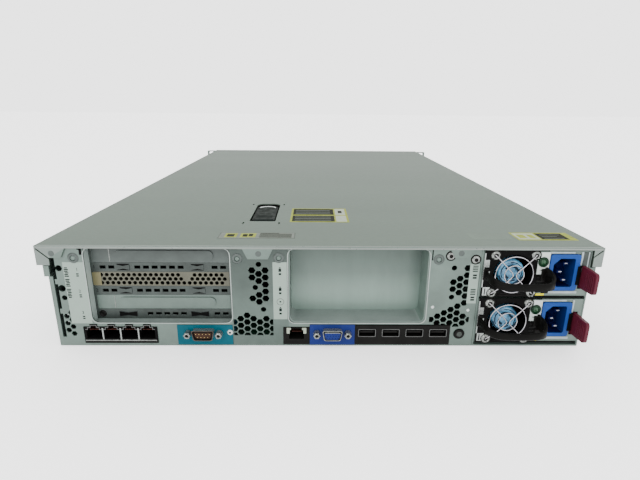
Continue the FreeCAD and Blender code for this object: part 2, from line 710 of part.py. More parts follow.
def management_port():
    """The single management jack in its dark housing."""
    body = port_body("Management", (management_left, management_left + d.management_width),
                     (d.wall + 0.4, d.management_top))
    left = management_left + (d.management_width - d.jack_width) / 2
    holes = jack_hole("Management_jack", left, d.management_floor)
    node("management_port", cut("Management_port", body, *holes))


def usb_ports():
    """Four USB sockets side by side in one dark block."""
    body = port_body("Usb", (usb_left, usb_right), (d.wall + 0.2, d.usb_top))
    pieces = []
    tongues = []
    for k in range(USB_SOCKETS):
        left = usb_left + d.usb_margin + d.usb_pitch * k
        low = d.usb_level - d.usb_shell_height / 2
        half = d.usb_shell_height / 2
        pieces.append(block("Usb_mouth", (left + 0.7, left + d.usb_shell_width - 0.7),
                            (port_front - 1, port_front + 12), (low + 0.6, low + 2 * half - 0.6)))
        tongues.append(block("Usb_tongue", (left + 1.6, left + d.usb_shell_width - 1.6),
                             (port_front + 1, port_front + 12.5),
                             (d.usb_level - 0.2, d.usb_level + d.usb_tongue - 0.2)))
    node("usb_ports", join("Usb_ports", cut("Usb_block", body, *pieces), *tongues))


def push_button(name, at, radius, inward, wall):
    """A round button with a collar behind its wall; `inward` is the way it is pushed."""
    x, y, z = at
    proud = 1.2
    collar = 1.2
    reach = proud + wall + d.clearance + collar
    spread = 0.9
    start = y - proud if inward > 0 else y + proud - reach
    back = y + wall + d.clearance if inward > 0 else y + proud - reach
    cap = rod(f"{name}_cap", (x, start, z), radius, reach)
    rim = rod(f"{name}_collar", (x, back, z), radius + spread, collar)
    node(name, join(f"{name}_solid", cap, rim))


# ---------------------------------------------------------------- power supplies

def psu_cage():
    """The wall beside the power supplies, the shelf between them and the runner under them."""
    back = rear + d.psu_inset + d.psu_length + 8
    upper = d.psu_floor + d.psu_pitch
    low_top = d.psu_floor + d.psu_height
    wall = block("Bay_wall", (bay_wall, bay_wall + d.wall), (panel, back), (d.wall, wall_top))
    shelf = block("Bay_shelf", (bay_wall + d.wall, inner), (panel + 10, back),
                  (low_top + d.clearance, upper - d.clearance))
    runner = block("Bay_runner", (bay_wall + d.wall, inner), (panel + 4, back),
                   (d.wall, d.psu_floor - d.clearance))
    node("psu_cage", join("Psu_cage", wall, shelf, runner))


def power_backplane():
    """The upright board that the two power supplies plug into."""
    face = rear + d.psu_inset + d.psu_length + d.clearance
    board = block("Power_pcb", (psu_left + 1, psu_right - 1), (face + 7.7, face + 7.7 + d.board),
                  (d.psu_floor, wall_top - 2))
    sockets = [block("Power_socket", (psu_left + 14, psu_left + 70), (face, face + 7.7), (low, low + 11))
               for low in (d.psu_floor + 12, d.psu_floor + 12 + d.psu_pitch)]
    node("power_backplane", join("Power_backplane", board, *sockets))


def psu_case(name, x, z, face):
    """The steel case, with the fan well, the inlet well and the latch slot in its rear face."""
    shell = padded(f"{name}_shell", "y", face, d.psu_length,
                   rectangle((x, psu_right), (z, z + d.psu_height), 0.8))
    centre = (x + d.fan_across, face - 1, z + d.fan_up)
    well = rod(f"{name}_fan_well", centre, d.fan_bore, d.fan_depth + 1 + d.clearance)
    inlet = block(f"{name}_inlet_well", (x + d.inlet_across, x + d.inlet_across + d.inlet_width),
                  (face - 1, face + d.inlet_depth), (z + d.inlet_up, z + d.inlet_up + d.inlet_height))
    slot = block(f"{name}_latch_slot",
                 (x + d.latch_across - 1.0, x + d.latch_across + d.tab_thick + 1.0),
                 (face - 1, face + d.latch_root + d.latch_slot),
                 (z + d.latch_up - 1, z + d.latch_up + d.tab_height + 1))
    node(f"{name}_case", cut(f"{name}_case", shell, well, inlet, slot))


def psu_fan_frame(name, centre, face):
    """The round frame of a power supply's fan, with its motor mount on a cross of struts."""
    x, z = centre
    inside = d.fan_bore - d.fan_frame
    ring = padded(f"{name}_ring", "y", face + 1, d.fan_depth - 1, circle(x, z, d.fan_bore),
                  circle(x, z, inside))
    floor = face + d.fan_depth
    mount = rod(f"{name}_mount", (x, floor - 3, z), d.hub_radius, 3)
    reach = inside + 0.5
    level = block(f"{name}_strut", (x - reach, x + reach), (floor - 2, floor), (z - 1.2, z + 1.2))
    upright = block(f"{name}_upright", (x - 1.2, x + 1.2), (floor - 2, floor), (z - reach, z + reach))
    node(f"{name}_fan_frame", join(f"{name}_frame", ring, mount, level, upright))


def rotor(name, centre, start, hub, tip, depth, blades, chord):
    """A fan rotor: a hub with leaning blades set out around it, spinning about Y."""
    x, z = centre
    body = doc.addObject("PartDesign::Body", f"{name}_rotor")
    pad(body, "y", 0, depth, circle(0, 0, hub))
    doc.recompute()
    blade = body.newObject("PartDesign::AdditiveLoft", f"{name}_blade")
    lean = tip * 0.12
    near = radial_section(body, hub - 1.5, depth, chord, 0)
    far = radial_section(body, tip * 0.9, depth, chord, lean)
    blade.Profile = near
    blade.Sections = [far]
    blade.Ruled = True
    doc.recompute()
    ring = body.newObject("PartDesign::PolarPattern", f"{name}_ring")
    ring.Originals = [blade]
    axis = next(item for item in body.Origin.OriginFeatures if item.Role == "Y_Axis")
    ring.Axis = (axis, [""])
    ring.Angle = 360
    ring.Occurrences = blades
    body.Tip = ring
    return place(body, (x, start, z))


def radial_section(body, radius, depth, chord, lean):
    """A blade's section at a radius: a thin slanted strip across the rotor's depth."""
    thick = 0.9
    strip = [(depth * 0.08, lean - chord / 2), (depth * 0.08, lean - chord / 2 + thick),
             (depth * 0.92, lean + chord / 2), (depth * 0.92, lean + chord / 2 - thick)]
    return sketch_on(body, "x", radius, [strip])


def psu_inlet(name, x, z, face):
    """The mains inlet: a coloured housing with a chamfered mouth and three flat pins."""
    left = x + d.inlet_across + 0.1
    right = left + d.inlet_width - 0.2
    low = z + d.inlet_up + 0.1
    top = low + d.inlet_height - 0.2
    housing = padded(f"{name}_housing", "y", face - d.inlet_rim, d.inlet_depth + d.inlet_rim,
                     rectangle((left, right), (low, top), 2.0))
    middle = (low + top) / 2
    mouth_left = left + 2.8
    mouth_right = mouth_left + d.inlet_mouth_width
    half = d.inlet_mouth_height / 2
    mouth = [(mouth_left, middle - half + d.inlet_chamfer), (mouth_left + d.inlet_chamfer, middle - half),
             (mouth_right, middle - half, 1.5), (mouth_right, middle + half, 1.5),
             (mouth_left + d.inlet_chamfer, middle + half), (mouth_left, middle + half - d.inlet_chamfer)]
    pocket(housing, "y", face - d.inlet_rim, d.inlet_mouth_depth, mouth)
    line = mouth_left + d.inlet_mouth_width * 0.64
    floor = face - d.inlet_rim + d.inlet_mouth_depth
    pins = []
    for across, up in ((0, -1), (0, 1), (-1, 0)):
        pin_x = line + d.earth_offset * across
        pin_z = middle + d.blade_pitch / 2 * up
        pins.append(block(f"{name}_pin", (pin_x - d.blade_width / 2, pin_x + d.blade_width / 2),
                          (face + 1.5, floor + 1), (pin_z - d.blade_thick / 2, pin_z + d.blade_thick / 2)))
    node(f"{name}_inlet", join(f"{name}_inlet", housing, *pins))


def psu_guard(name, centre, face):
    """The wire finger guard: two rings, four bent spokes and the four screws that hold it."""
    x, z = centre
    level = face - d.guard_gap
    rings = [padded(f"{name}_wire", "y", level - d.guard_wire, 2 * d.guard_wire,
                    circle(x, z, radius + d.guard_wire), circle(x, z, radius - d.guard_wire))
             for radius in (d.guard_outer, d.guard_inner)]
    spokes = []
    screws = []
    reach = d.guard_screw / 2 * math.sqrt(2)
    for corner in range(4):
        turn = FreeCAD.Rotation(VECTOR(0, 1, 0), 45 + 90 * corner)
        spoke = doc.addObject("Part::Cylinder", f"{name}_spoke")
        bind(spoke, "Radius", d.guard_wire * 0.9)
        bind(spoke, "Height", reach - d.guard_inner)
        out = turn.multVec(VECTOR(0, 0, 1))
        spokes.append(place(spoke, (x + d.guard_inner * out.x, level, z + d.guard_inner * out.z), turn))
        at = (x + reach * out.x, face - d.screw_height, z + reach * out.z)
        screws.append(rod(f"{name}_screw", at, d.screw_radius, d.screw_height))
    node(f"{name}_guard", join(f"{name}_guard", *rings, *spokes, *screws))


def psu_handle(name, x, z, face):
    """The flat black strap that bows out across the power supply."""
    middle = x + d.handle_across
    half = d.handle_span / 2
    low = z + d.fan_up - d.handle_height / 2
    out = face - d.handle_reach
    thick = d.handle_thick
    outside = [(middle - half, face), (middle - half, out, d.handle_radius),
               (middle + half, out, d.handle_radius),
               (middle + half, face), (middle + half - thick, face),
               (middle + half - thick, out + thick, d.handle_radius - thick),
               (middle - half + thick, out + thick, d.handle_radius - thick), (middle - half + thick, face)]
    strap = padded(f"{name}_strap", "z", low, d.handle_height, outside)
    node(f"{name}_handle", strap)


def psu_latch(name, x, z, face):
    """The release tab: a plate that stands out of the face and turns about its root."""
    left = x + d.latch_across
    right = left + d.tab_thick
    low = z + d.latch_up
    top = low + d.tab_height
    plate = padded(f"{name}_tab", "x", left, d.tab_thick,
                   [(face - d.tab_reach, low + 1.5, 3.0), (face + d.latch_root, low),
                    (face + d.latch_root, top), (face - d.tab_reach, top, 3.0)])
    pin = rod(f"{name}_root", ((left + right) / 2, face + d.latch_root, low), d.tab_thick * 0.6,
              d.tab_height, UPRIGHT)
    node(f"{name}_latch", join(f"{name}_latch", plate, pin))


def power_supply(name, z):
    """One plug-in power supply and all that it carries."""
    face = rear + d.psu_inset
    centre = (psu_left + d.fan_across, z + d.fan_up)
    psu_case(name, psu_left, z, face)
    psu_fan_frame(name, centre, face)
    psu_inlet(name, psu_left, z, face)
    psu_guard(name, centre, face)
    psu_handle(name, psu_left, z, face)
    psu_latch(name, psu_left, z, face)
    start = face + d.fan_depth - 3 - d.clearance - d.blade_depth
    node(f"{name}_rotor", rotor(name, centre, start, d.hub_radius, d.blade_tip, d.blade_depth, 7, 9.0))


# ---------------------------------------------------------------- inside the chassis

def system_board():
    """The main board with its two processor sockets, memory sockets and card socket."""
    top = d.board_level + d.board
    start = rear + d.board_inset
    board = block("Main_pcb", (0.8 - inner, bay_wall - 0.8), (start, start + d.board_length),
                  (d.board_level, top))
    y = rear + d.socket_from_rear
    sockets = [block("Socket", (x - d.socket_size / 2, x + d.socket_size / 2), (y, y + d.socket_size),
                     (top, top + d.socket_height)) for x in socket_places()]
    first = y - d.memory_start
    last = first + d.memory_length + 2 * d.memory_ends
    strips = [block("Memory_socket", (x, x + d.memory_slot), (first, last), (top, top + d.socket_height))
              for x in memory_places()]
    card_y = cage_face + d.card_start
    card_x = riser_right - d.riser_gap + d.board / 2 - d.card_slot_width / 2
    card = block("Card_slot", (card_x, card_x + d.card_slot_width), (card_y, card_y + d.card_slot_length),
                 (top, top + d.socket_height))
    node("system_board", join("System_board", board, *sockets, *strips, card))


def socket_places():
    """The middles of the two processor sockets."""
    width = bay_wall + inner
    return [bay_wall - d.first_socket * width, bay_wall - d.second_socket * width]


def memory_places():
    """Left edges of the memory sockets on both sides of each processor."""
    reach = d.sink_width / 2 + 3
    places = []
    for x in socket_places():
        places += [x + reach + d.memory_pitch * k for k in range(3)]
        places += [x - reach - d.memory_slot - d.memory_pitch * k for k in range(3)]
    return places


def heat_sink():
    """The processor's cooler: a base with a row of fins."""
    x = socket_places()[0] - d.sink_width / 2
    y = rear + d.socket_from_rear + d.socket_size / 2 - d.sink_length / 2
    low = d.board_level + d.board + d.socket_height
    body = doc.addObject("PartDesign::Body", "Sink")
    pad(body, "y", y, d.sink_length, rectangle((x, x + d.sink_width), (low, low + d.sink_base)))
    doc.recompute()
    fin = pad(body, "y", y, d.sink_length,
              rectangle((x, x + d.fin_thick), (low + d.sink_base, low + d.sink_height)))
    doc.recompute()
    row = body.newObject("PartDesign::LinearPattern", "Sink_fins")
    row.Originals = [fin]
    row.Direction = (next(item for item in body.Origin.OriginFeatures if item.Role == "X_Axis"), [""])
    bind(row, "Length", d.sink_width - d.fin_thick)
    bind(row, "Occurrences", d.fin_count)
    body.Tip = row
    node("heat_sink", body)


def memory_modules():
    """Four memory modules in the sockets beside the fitted processor."""
    low = d.board_level + d.board + d.socket_height
    y = rear + d.socket_from_rear - d.memory_start + d.memory_ends
    places = memory_places()
    inset = (d.memory_slot - d.memory_thick) / 2
    cards = [block("Module", (x + inset, x + d.memory_slot - inset), (y, y + d.memory_length),
                   (low, low + d.memory_height)) for x in (places[0], places[2], places[3], places[5])]
    node("memory_modules", group("Memory_modules", cards))


fan_pitch = 2 * (inner - d.fan_side) / FAN_PLACES
fan_module = fan_pitch - d.fan_gap


def fan_left(index):
    """Left edge of a fan place in the tray."""
    return fan_pitch * (index - FAN_PLACES / 2) + d.fan_gap / 2


def fan_tray():
    """The tray across the chassis: a floor and an upright divider beside each fan."""
    y = (rear + d.fan_tray_at, rear + d.fan_tray_at + d.fan_module_depth)
    half = fan_pitch * FAN_PLACES / 2 + d.divider / 2
    floor = block("Fan_floor", (-half, half), y, (d.wall, 2 * d.wall))
    dividers = []
    for k in range(FAN_PLACES + 1):
        middle = fan_pitch * (k - FAN_PLACES / 2)
        dividers.append(block("Fan_divider", (middle - d.divider / 2, middle + d.divider / 2), y,
                              (2 * d.wall, 2 * d.wall + d.fan_module_height)))
    node("fan_tray", join("Fan_tray", floor, *dividers))


def fan_modules():
    """Four fans in square frames, each with its own rotor."""
    y = rear + d.fan_tray_at
    low = 2 * d.wall
    frames = []
    for k in range(FANS):
        left = fan_left(k)
        x = left + fan_module / 2
        z = low + d.fan_module_height / 2
        frame = padded(f"Frame_{k}", "y", y, d.fan_module_depth,
                       rectangle((left, left + fan_module), (low, low + d.fan_module_height), 3.0),
                       circle(x, z, d.big_bore))
        mount = rod("Mount", (x, y, z), d.big_hub, 4)
        reach = d.big_bore + 1
        bars = [block("Bar", (x - reach, x + reach), (y, y + 3), (z - 1.5, z + 1.5)),
                block("Bar", (x - 1.5, x + 1.5), (y, y + 3), (z - reach, z + reach))]
        frames.append(join(f"Frame_solid_{k}", frame, mount, *bars))
        node(f"fan_rotor_{k + 1}", rotor(f"Fan_{k}", (x, z), y + 4 + d.clearance, d.big_hub, d.big_tip,
                                         d.big_blade, 5, 16.0))
    node("fan_frames", group("Fan_frames", frames))


def fan_blanks():
    """Blanks in the two empty fan places: an open-backed box with a grip on top."""
    y = rear + d.fan_tray_at
    low = 2 * d.wall
    blanks = []
    for k in range(FANS, FAN_PLACES):
        left = fan_left(k)
        box = padded(f"Blank_{k}", "y", y, d.fan_module_depth,
                     rectangle((left, left + fan_module), (low, low + d.fan_module_height), 3.0))
        hollow = rectangle((left + 2, left + fan_module - 2), (low + 2, low + d.fan_module_height - 2), 2.0)
        pocket(box, "y", y + 2, d.fan_module_depth, hollow)
        blanks.append(box)
    node("fan_blanks", group("Fan_blanks", blanks))


# ---------------------------------------------------------------- drives

def bay_left(index):
    """Left edge of a drive bay."""
    return d.bay_from_wall - inner + d.bay_pitch * index


cage_start = front_back - d.bay_depth
cage_top = wall_top - d.bay_headroom
bay_height = cage_top - d.bay_low


def drive_cage():
    """The drive cage: floor, roof and a thin wall beside each bay."""
    right = bay_left(BAYS)
    y = (cage_start, front_back)
    floor = block("Bay_floor", (bay_left(0) - d.divider, right), y, (d.wall, d.bay_low))
    roof = block("Bay_roof", (bay_left(0) - d.divider, right), y, (cage_top, cage_top + d.divider))
    walls = [block("Bay_divider", (bay_left(k) - d.divider, bay_left(k)), y, (d.bay_low, cage_top))
             for k in range(BAYS + 1)]
    node("drive_cage", join("Drive_cage", floor, roof, *walls))


def drive_backplane():
    """The board behind the bays, with a connector for each drive."""
    right = bay_left(BAYS)
    board = block("Drive_pcb", (bay_left(0) - d.divider, right), (cage_start - d.board, cage_start),
                  (d.wall, cage_top))
    reach = d.bay_depth + d.front_thick - d.carrier_length - d.face_thick - d.clearance
    sockets = [block("Drive_socket", (bay_left(k) + 4, bay_left(k) + 10), (cage_start, cage_start + reach),
                     (d.bay_low + 20, d.bay_low + 52)) for k in range(BAYS)]
    node("drive_backplane", join("Drive_backplane", board, *sockets))


def carrier_place(index):
    """Left edge, right edge, underside and top of a carrier in its bay."""
    left = bay_left(index) + (d.bay_pitch - d.divider - d.carrier_width) / 2
    low = d.bay_low + (bay_height - d.carrier_height) / 2
    return left, left + d.carrier_width, low, low + d.carrier_height


def drives():
    """Hot-plug drives, each in a carrier with a turning lever on its face."""
    for k in range(DRIVES):
        left, right, low, top = carrier_place(k)
        face = front - d.face_thick
        body = block("Drive_body", (left, right), (face - d.carrier_length, face), (low, top))
        bezel = padded(f"Drive_bezel_{k}", "y", face, d.face_thick - d.lever_thick - d.clearance,
                       rectangle((left, right), (low, top), 1.5))
        hinge_low = low + 8
        knuckle = block("Knuckle", (left, left + 3), (face, front),
                        (hinge_low - 4, hinge_low + d.lever_length + 6))
        node(f"drive_{k + 1}", join(f"Drive_{k}", body, bezel, knuckle))
        near = left + 3.4
        far = near + d.lever_width
        bend = d.lever_thick / 2
        foot = hinge_low + bend
        slab = padded(f"Lever_{k}", "y", front - d.lever_thick, d.lever_thick,
                      [(near, foot), (far, foot), (far, hinge_low + d.lever_length, 2.0),
                       (near, hinge_low + d.lever_length, 2.0)],
                      rectangle((near + 2, far - 2), (hinge_low + 30, hinge_low + 46), 1.0))
        knuckle_bar = rod("Lever_knuckle", (near, front - bend, foot), bend, d.lever_width, ALONG_X)
        node(f"drive_lever_{k + 1}", join(f"Drive_lever_{k}", slab, knuckle_bar))


def drive_blanks():
    """Blanks in the empty bays: a hollow sleeve with a ribbed face."""
    blanks = []
    for k in range(DRIVES, BAYS):
        left, right, low, top = carrier_place(k)
        sleeve = block("Blank_sleeve", (left, right), (front - 60, front - 2), (low, top))
        pitch = (top - low - d.recess_low) / RECESSES
        levels = [low + d.recess_low + pitch * row for row in range(RECESSES)]
        recesses = [block("Blank_recess", (left + 2, right - 2), (front - 4, front),
                          (level, level + pitch - d.recess_bar)) for level in levels]
        blanks.append(cut(f"Blank_drive_{k}", sleeve, *recesses))
    node("drive_blanks", group("Drive_blanks", blanks))


# ---------------------------------------------------------------- front, roof, ears, studs

def front_panel():
    """The front face: a frame round the drive bays, and an air grille beside them."""
    outline = rectangle((-half_step, half_step), (0, wall_top), 2.0)
    left = bay_left(0) - d.divider
    right = bay_left(BAYS)
    window = rectangle((left, right), (d.bay_low - 0.5, cage_top + 0.5), 1.0)
    switch = circle((left - inner) / 2, d.power_level, d.power_radius + d.clearance)
    frame = padded("Front_frame", "y", front_back, d.front_thick, outline, window, switch)
    media_low = wall_top - d.media_from_top
    tall = (media_low - d.vent_low - d.vent_bar) / 2 - d.vent_bar / 2
    start = right + d.vent_start
    vents = [block("Front_vent", (start + d.vent_pitch * k, start + d.vent_pitch * k + d.vent_width),
                   (front_back - 1, front + 1), (low, low + tall))
             for k in range(VENT_COLUMNS) for low in (d.vent_low, d.vent_low + tall + d.vent_bar)]
    media = block("Media_bay", (start, start + d.media_width), (front - d.media_depth, front + 1),
                  (media_low, media_low + d.media_height))
    node("front_panel", cut("Front_panel", frame, *vents, media))


def front_roof():
    """The fixed roof over the drives, with the same side flanges as the cover."""
    top = d.height_all
    low = top - d.cover_drop
    section = [(-half_cover, low), (-half_cover, top), (half_cover, top), (half_cover, low),
               (half_cover - d.sheet, low), (half_cover - d.sheet, top - d.sheet),
               (d.sheet - half_cover, top - d.sheet), (d.sheet - half_cover, low)]
    roof = padded("Roof", "y", roof_start, front - roof_start, section)
    feet = [block("Roof_foot", x, (front_back - 30, front_back), (wall_top, top - d.sheet))
            for x in ((-half_step, -half_step + d.lip_width), (half_step - d.lip_width, half_step))]
    node("front_roof", join("Front_roof", roof, *feet))


def rack_ear(name, side):
    """A rack ear: an angle whose face carries two oblong screw slots, and whose leg is riveted on."""
    middle = d.height_all / 2
    radius = d.ear_slot_height / 2
    straight = (d.ear_slot_length - d.ear_slot_height) / 2
    hole = rack_edge - d.ear_hole_inset
    y = (front_back - d.ear_thick, front_back)
    lip = d.height_all - d.cover_drop - 1
    outline = [(half_body, 0.5), (rack_edge, 0.5, 2.0), (rack_edge, d.height_all - 0.3, 2.0),
               (half_cover + 0.5, d.height_all - 0.3), (half_cover + 0.5, lip), (half_step, lip),
               (half_step, d.step_level - 0.5), (half_body, d.step_level - 0.5)]
    outline = [(corner[0] * side,) + corner[1:] for corner in outline]
    face = padded(f"{name}_face", "y", y[0], d.ear_thick, outline)
    tools = []
    for up in (-1, 1):
        level = middle + up * d.ear_slot_pitch / 2
        tools += [rod("Slot_end", (hole * side + straight * end, y[0] - 1, level), radius, d.ear_thick + 2)
                  for end in (-1, 1)]
        tools.append(block("Slot_middle", (hole * side - straight, hole * side + straight),
                           (y[0] - 1, y[1] + 1), (level - radius, level + radius)))
    leg = block(f"{name}_leg", ordered(side, half_body, half_body + d.ear_thick), (y[0] - 45, y[0]),
                (6, d.step_level - 4))
    node(name, join(f"{name}_solid", cut(f"{name}_slotted", face, join(f"{name}_slots", *tools)), leg))


def ordered(side, near, far):
    """Two distances from the middle, as low and high places on the given side."""
    return (near, far) if side > 0 else (-far, -near)


def ear_lever(name, side):
    """The quick-release lever in front of an ear, turning on its inner edge, with a finger hollow."""
    low = d.height_all / 2 - d.ear_lever_height / 2
    near = half_step + 2 * d.clearance
    far = near + d.ear_lever_width
    start = front_back + d.clearance
    outline = [(side * near, start), (side * far, start), (side * far, front, 1.0),
               (side * near, front, d.ear_lever_knuckle)]
    body = padded(name, "z", low, d.ear_lever_height, outline)
    hollow = (low + 6, low + d.ear_lever_height - 6)
    pocket(body, "y", front - d.finger_hollow, d.finger_hollow + 1,
           rectangle(ordered(side, near + 5, far - 3), hollow, 2.0))
    node(name, body)


def rail_studs():
    """Headed studs on both sides, on which the slide rails hang."""
    studs = []
    for side in (-1, 1):
        for k in range(STUDS):
            y = front - d.stud_first - d.stud_pitch * k
            start = half_body if side > 0 else -half_body - d.stud_reach
            head_at = half_body + d.stud_reach if side > 0 else start - d.stud_head_thick
            shank = rod("Stud", (start, y, d.stud_level), d.stud_radius, d.stud_reach, ALONG_X)
            head = rod("Stud_head", (head_at, y, d.stud_level), d.stud_head, d.stud_head_thick, ALONG_X)
            studs.append(join("Stud_solid", shank, head))
    node("rail_studs", group("Rail_studs", studs))


# ---------------------------------------------------------------- the sliding cover

def cover_tab(left, width, drop):
    """A leaning tab folded down over the rear wall."""
    bend = d.height_all - d.sheet
    low = d.height_all - drop
    right = left + width
    return [(left, bend), (left + d.tab_slant, low), (right - d.tab_slant, low), (right, bend)]


def top_cover():
    """The cover: a folded lid with mitred corners, tabs, side flanges and the latch recess."""
    top = d.height_all
    low = top - d.cover_drop
    end = cover_end
    section = [(-half_cover, low), (-half_cover, top), (half_cover, top), (half_cover, low),
               (half_cover - d.sheet, low), (half_cover - d.sheet, top - d.sheet),
               (d.sheet - half_cover, top - d.sheet), (d.sheet - half_cover, low)]
    lid = padded("Lid", "y", rear, end - rear, section)
    seam = 0.5
    pieces = [block("Rear_bend", (-half_cover, half_cover), (rear, rear + d.sheet),
                    (top - d.rear_bend, top - 0.1))]
    for side, mitre in ((-1, d.mitre), (1, d.mitre_bay)):
        corner = half_cover - mitre
        level = top - mitre
        fold = [(side * (half_cover - seam), top - d.sheet), (side * corner, level + seam),
                (side * (corner - 9.0), level + seam), (side * (corner - 13.5), top - d.sheet)]
        turned = [(side * half_cover, top - d.sheet - 2 * seam), (side * (corner + seam / 2), level - seam),
                  (side * (corner + seam / 2), low), (side * half_cover, low)]
        if side > 0:
            fold = [(side * (half_cover - seam), top - d.sheet), (side * corner, level + seam),
                    (side * corner, top - d.sheet)]
        pieces += [padded("Corner_fold", "y", rear, d.sheet, fold),
                   padded("Corner_turn", "y", rear, d.sheet, turned)]
    tabs = [(riser_right + 10.0, d.tab_width + 7.1, d.tab_drop),
            (blank_right + 14.8, d.tab_width + 2, d.tab_drop - 1.6)]
    pieces += [padded("Tab", "y", rear, d.sheet, cover_tab(*tab)) for tab in tabs]
    lid_solid = join("Lid_solid", lid, *pieces)
    start = rear + d.recess_start
    stop = rear + d.recess_end
    recess = padded("Recess", "z", top - 3, 6,
                    [(sized(d.recess_left), start, 2.0), (sized(d.recess_right), start, 2.0),
                     (sized(d.recess_right), stop, 8.0), (sized(d.recess_left), stop, 8.0)])
    across = d.slot_width / 2
    along = d.slot_length / 2
    slots = [block("Slot", (x - across, x + across), (y - along, y + along), (top - 3, top + 1))
             for x in (d.recess_left - 4.6, d.recess_right + 4.0) for y in (start - 6, stop - 4)]
    node("top_cover", cut("Top_cover", lid_solid, recess, *slots))


def latch_cup():
    """The dark cup under the recess in the cover."""
    top = d.height_all - d.sheet
    left = d.recess_left - 1.5
    right = d.recess_right + 1.5
    start = rear + d.recess_start - 1.5
    stop = rear + d.recess_end + 1.5
    cup = padded("Cup", "z", top - d.cup_depth, d.cup_depth,
                 [(left, start, 2.0), (right, start, 2.0), (right, stop, 8.0), (left, stop, 8.0)])
    inside = [(left + 1, start + 1, 1.0), (right - 1, start + 1, 1.0), (right - 1, stop - 1, 7.0),
              (left + 1, stop - 1, 7.0)]
    pocket(cup, "z", top - d.cup_depth + d.sheet, d.cup_depth, inside)
    node("latch_cup", cup)


def latch_handle():
    """The cover latch: a flat lever with a finger lip, turning on a barrel at its rear end."""
    left = d.recess_left + d.latch_play
    right = d.recess_right - d.latch_play
    pivot_y = rear + d.recess_start + 7.0
    pivot_z = d.height_all - d.latch_thick - 0.2
    reach = d.latch_play + 0.5 - d.clearance
    barrel = rod("Barrel", (left - reach, pivot_y, pivot_z), d.latch_pin, right - left + 2 * reach, ALONG_X)
    plate = padded("Lever", "z", pivot_z - 0.4, d.latch_thick,
                   [(left, pivot_y, 0.5), (right, pivot_y, 0.5), (right, pivot_y + d.latch_length, 6.0),
                    (left, pivot_y + d.latch_length, 6.0)])
    node("latch_handle", join("Latch_handle", barrel, plate))


def build():
    """Makes every sub-part."""
    chassis_base()
    rear_panel()
    vent_column_mid()
    vent_column_right()
    riser_cage()
    solid_cover("slot_cover_top", 2)
    perforated_cover()
    solid_cover("slot_cover_bottom", 0)
    riser_board()
    riser_blank()
    network_ports()
    serial_port()
    management_port()
    video_port()
    usb_ports()
    push_button("uid_button", (blank_right + 29.2, panel, d.button_level), d.button_radius, 1, d.wall)
    psu_cage()
    power_backplane()
    power_supply("psu_lower", d.psu_floor)
    power_supply("psu_upper", d.psu_floor + d.psu_pitch)
    system_board()
    heat_sink()
    memory_modules()
    fan_tray()
    fan_modules()
    fan_blanks()
    drive_cage()
    drive_backplane()
    drives()
    drive_blanks()
    front_panel()
    push_button("power_button", ((bay_left(0) - d.divider - inner) / 2, front, d.power_level),
                d.power_radius, -1, d.front_thick)
    front_roof()
    rack_ear("rack_ear_left", -1)
    rack_ear("rack_ear_right", 1)
    ear_lever("ear_lever_left", -1)
    ear_lever("ear_lever_right", 1)
    rail_studs()
    top_cover()
    latch_cup()
    latch_handle()


def check():
    """Stops if any object failed or any sub-part is not a sound solid."""
    for item in doc.Objects:
        bad = [word for word in item.State if word in ("Invalid", "Error")]
        if bad:
            raise RuntimeError(f"{item.Name} ({item.Label}) is {bad}")
    for name, shape in parts.items():
        solid = shape.Shape
        if solid.isNull() or not solid.isValid() or not solid.Solids:
            raise RuntimeError(f"{name} is not a valid solid")
        print(f"{name:20s} solids {len(solid.Solids)}  faces {len(solid.Faces)}  {solid.Volume:.1f}")


def export():
    """Writes one file for each sub-part."""
    os.makedirs("parts", exist_ok=True)
    for name, shape in parts.items():
        shape.Shape.exportStep(f"parts/{name}.step")


build()
doc.recompute()
check()
export()
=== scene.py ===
"""Looks of the two-unit rack server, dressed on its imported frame.

Helper sizes are in millimetres in the row frame; every mesh is turned into metres when it is made.
"""
import math
from types import SimpleNamespace

import bmesh
import bpy
from mathutils import Matrix, Vector

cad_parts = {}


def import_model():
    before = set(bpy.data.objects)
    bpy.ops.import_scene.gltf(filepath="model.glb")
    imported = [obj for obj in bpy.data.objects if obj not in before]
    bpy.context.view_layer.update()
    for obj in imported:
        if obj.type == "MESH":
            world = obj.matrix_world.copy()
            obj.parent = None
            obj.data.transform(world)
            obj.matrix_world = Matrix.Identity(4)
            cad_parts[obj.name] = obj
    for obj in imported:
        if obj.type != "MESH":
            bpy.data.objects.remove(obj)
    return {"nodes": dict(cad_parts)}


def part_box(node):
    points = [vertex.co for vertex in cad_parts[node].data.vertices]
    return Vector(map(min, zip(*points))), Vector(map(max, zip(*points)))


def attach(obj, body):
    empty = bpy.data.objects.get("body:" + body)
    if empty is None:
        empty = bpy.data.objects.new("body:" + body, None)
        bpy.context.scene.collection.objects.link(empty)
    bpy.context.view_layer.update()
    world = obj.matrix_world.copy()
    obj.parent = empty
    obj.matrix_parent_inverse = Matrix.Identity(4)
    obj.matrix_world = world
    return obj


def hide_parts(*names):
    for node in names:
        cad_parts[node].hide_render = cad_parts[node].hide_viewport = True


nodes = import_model()["nodes"]
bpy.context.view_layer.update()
MM = 0.001
REAR = "chassis"
ROUGH_PLAY = 0.08
GRAIN_HEIGHT = 0.0004
ALONG_X = (0.25, 1, 1)


# ---- materials

def fill(node, values):
    """Sets inputs of a node by their names."""
    for name, value in values.items():
        node.inputs[name].default_value = value


def noise(tree, place, scale, detail):
    """A noise texture that reads its place from a socket."""
    made = tree.nodes.new("ShaderNodeTexNoise")
    fill(made, {"Scale": scale, "Detail": detail})
    tree.links.new(place, made.inputs["Vector"])
    return made


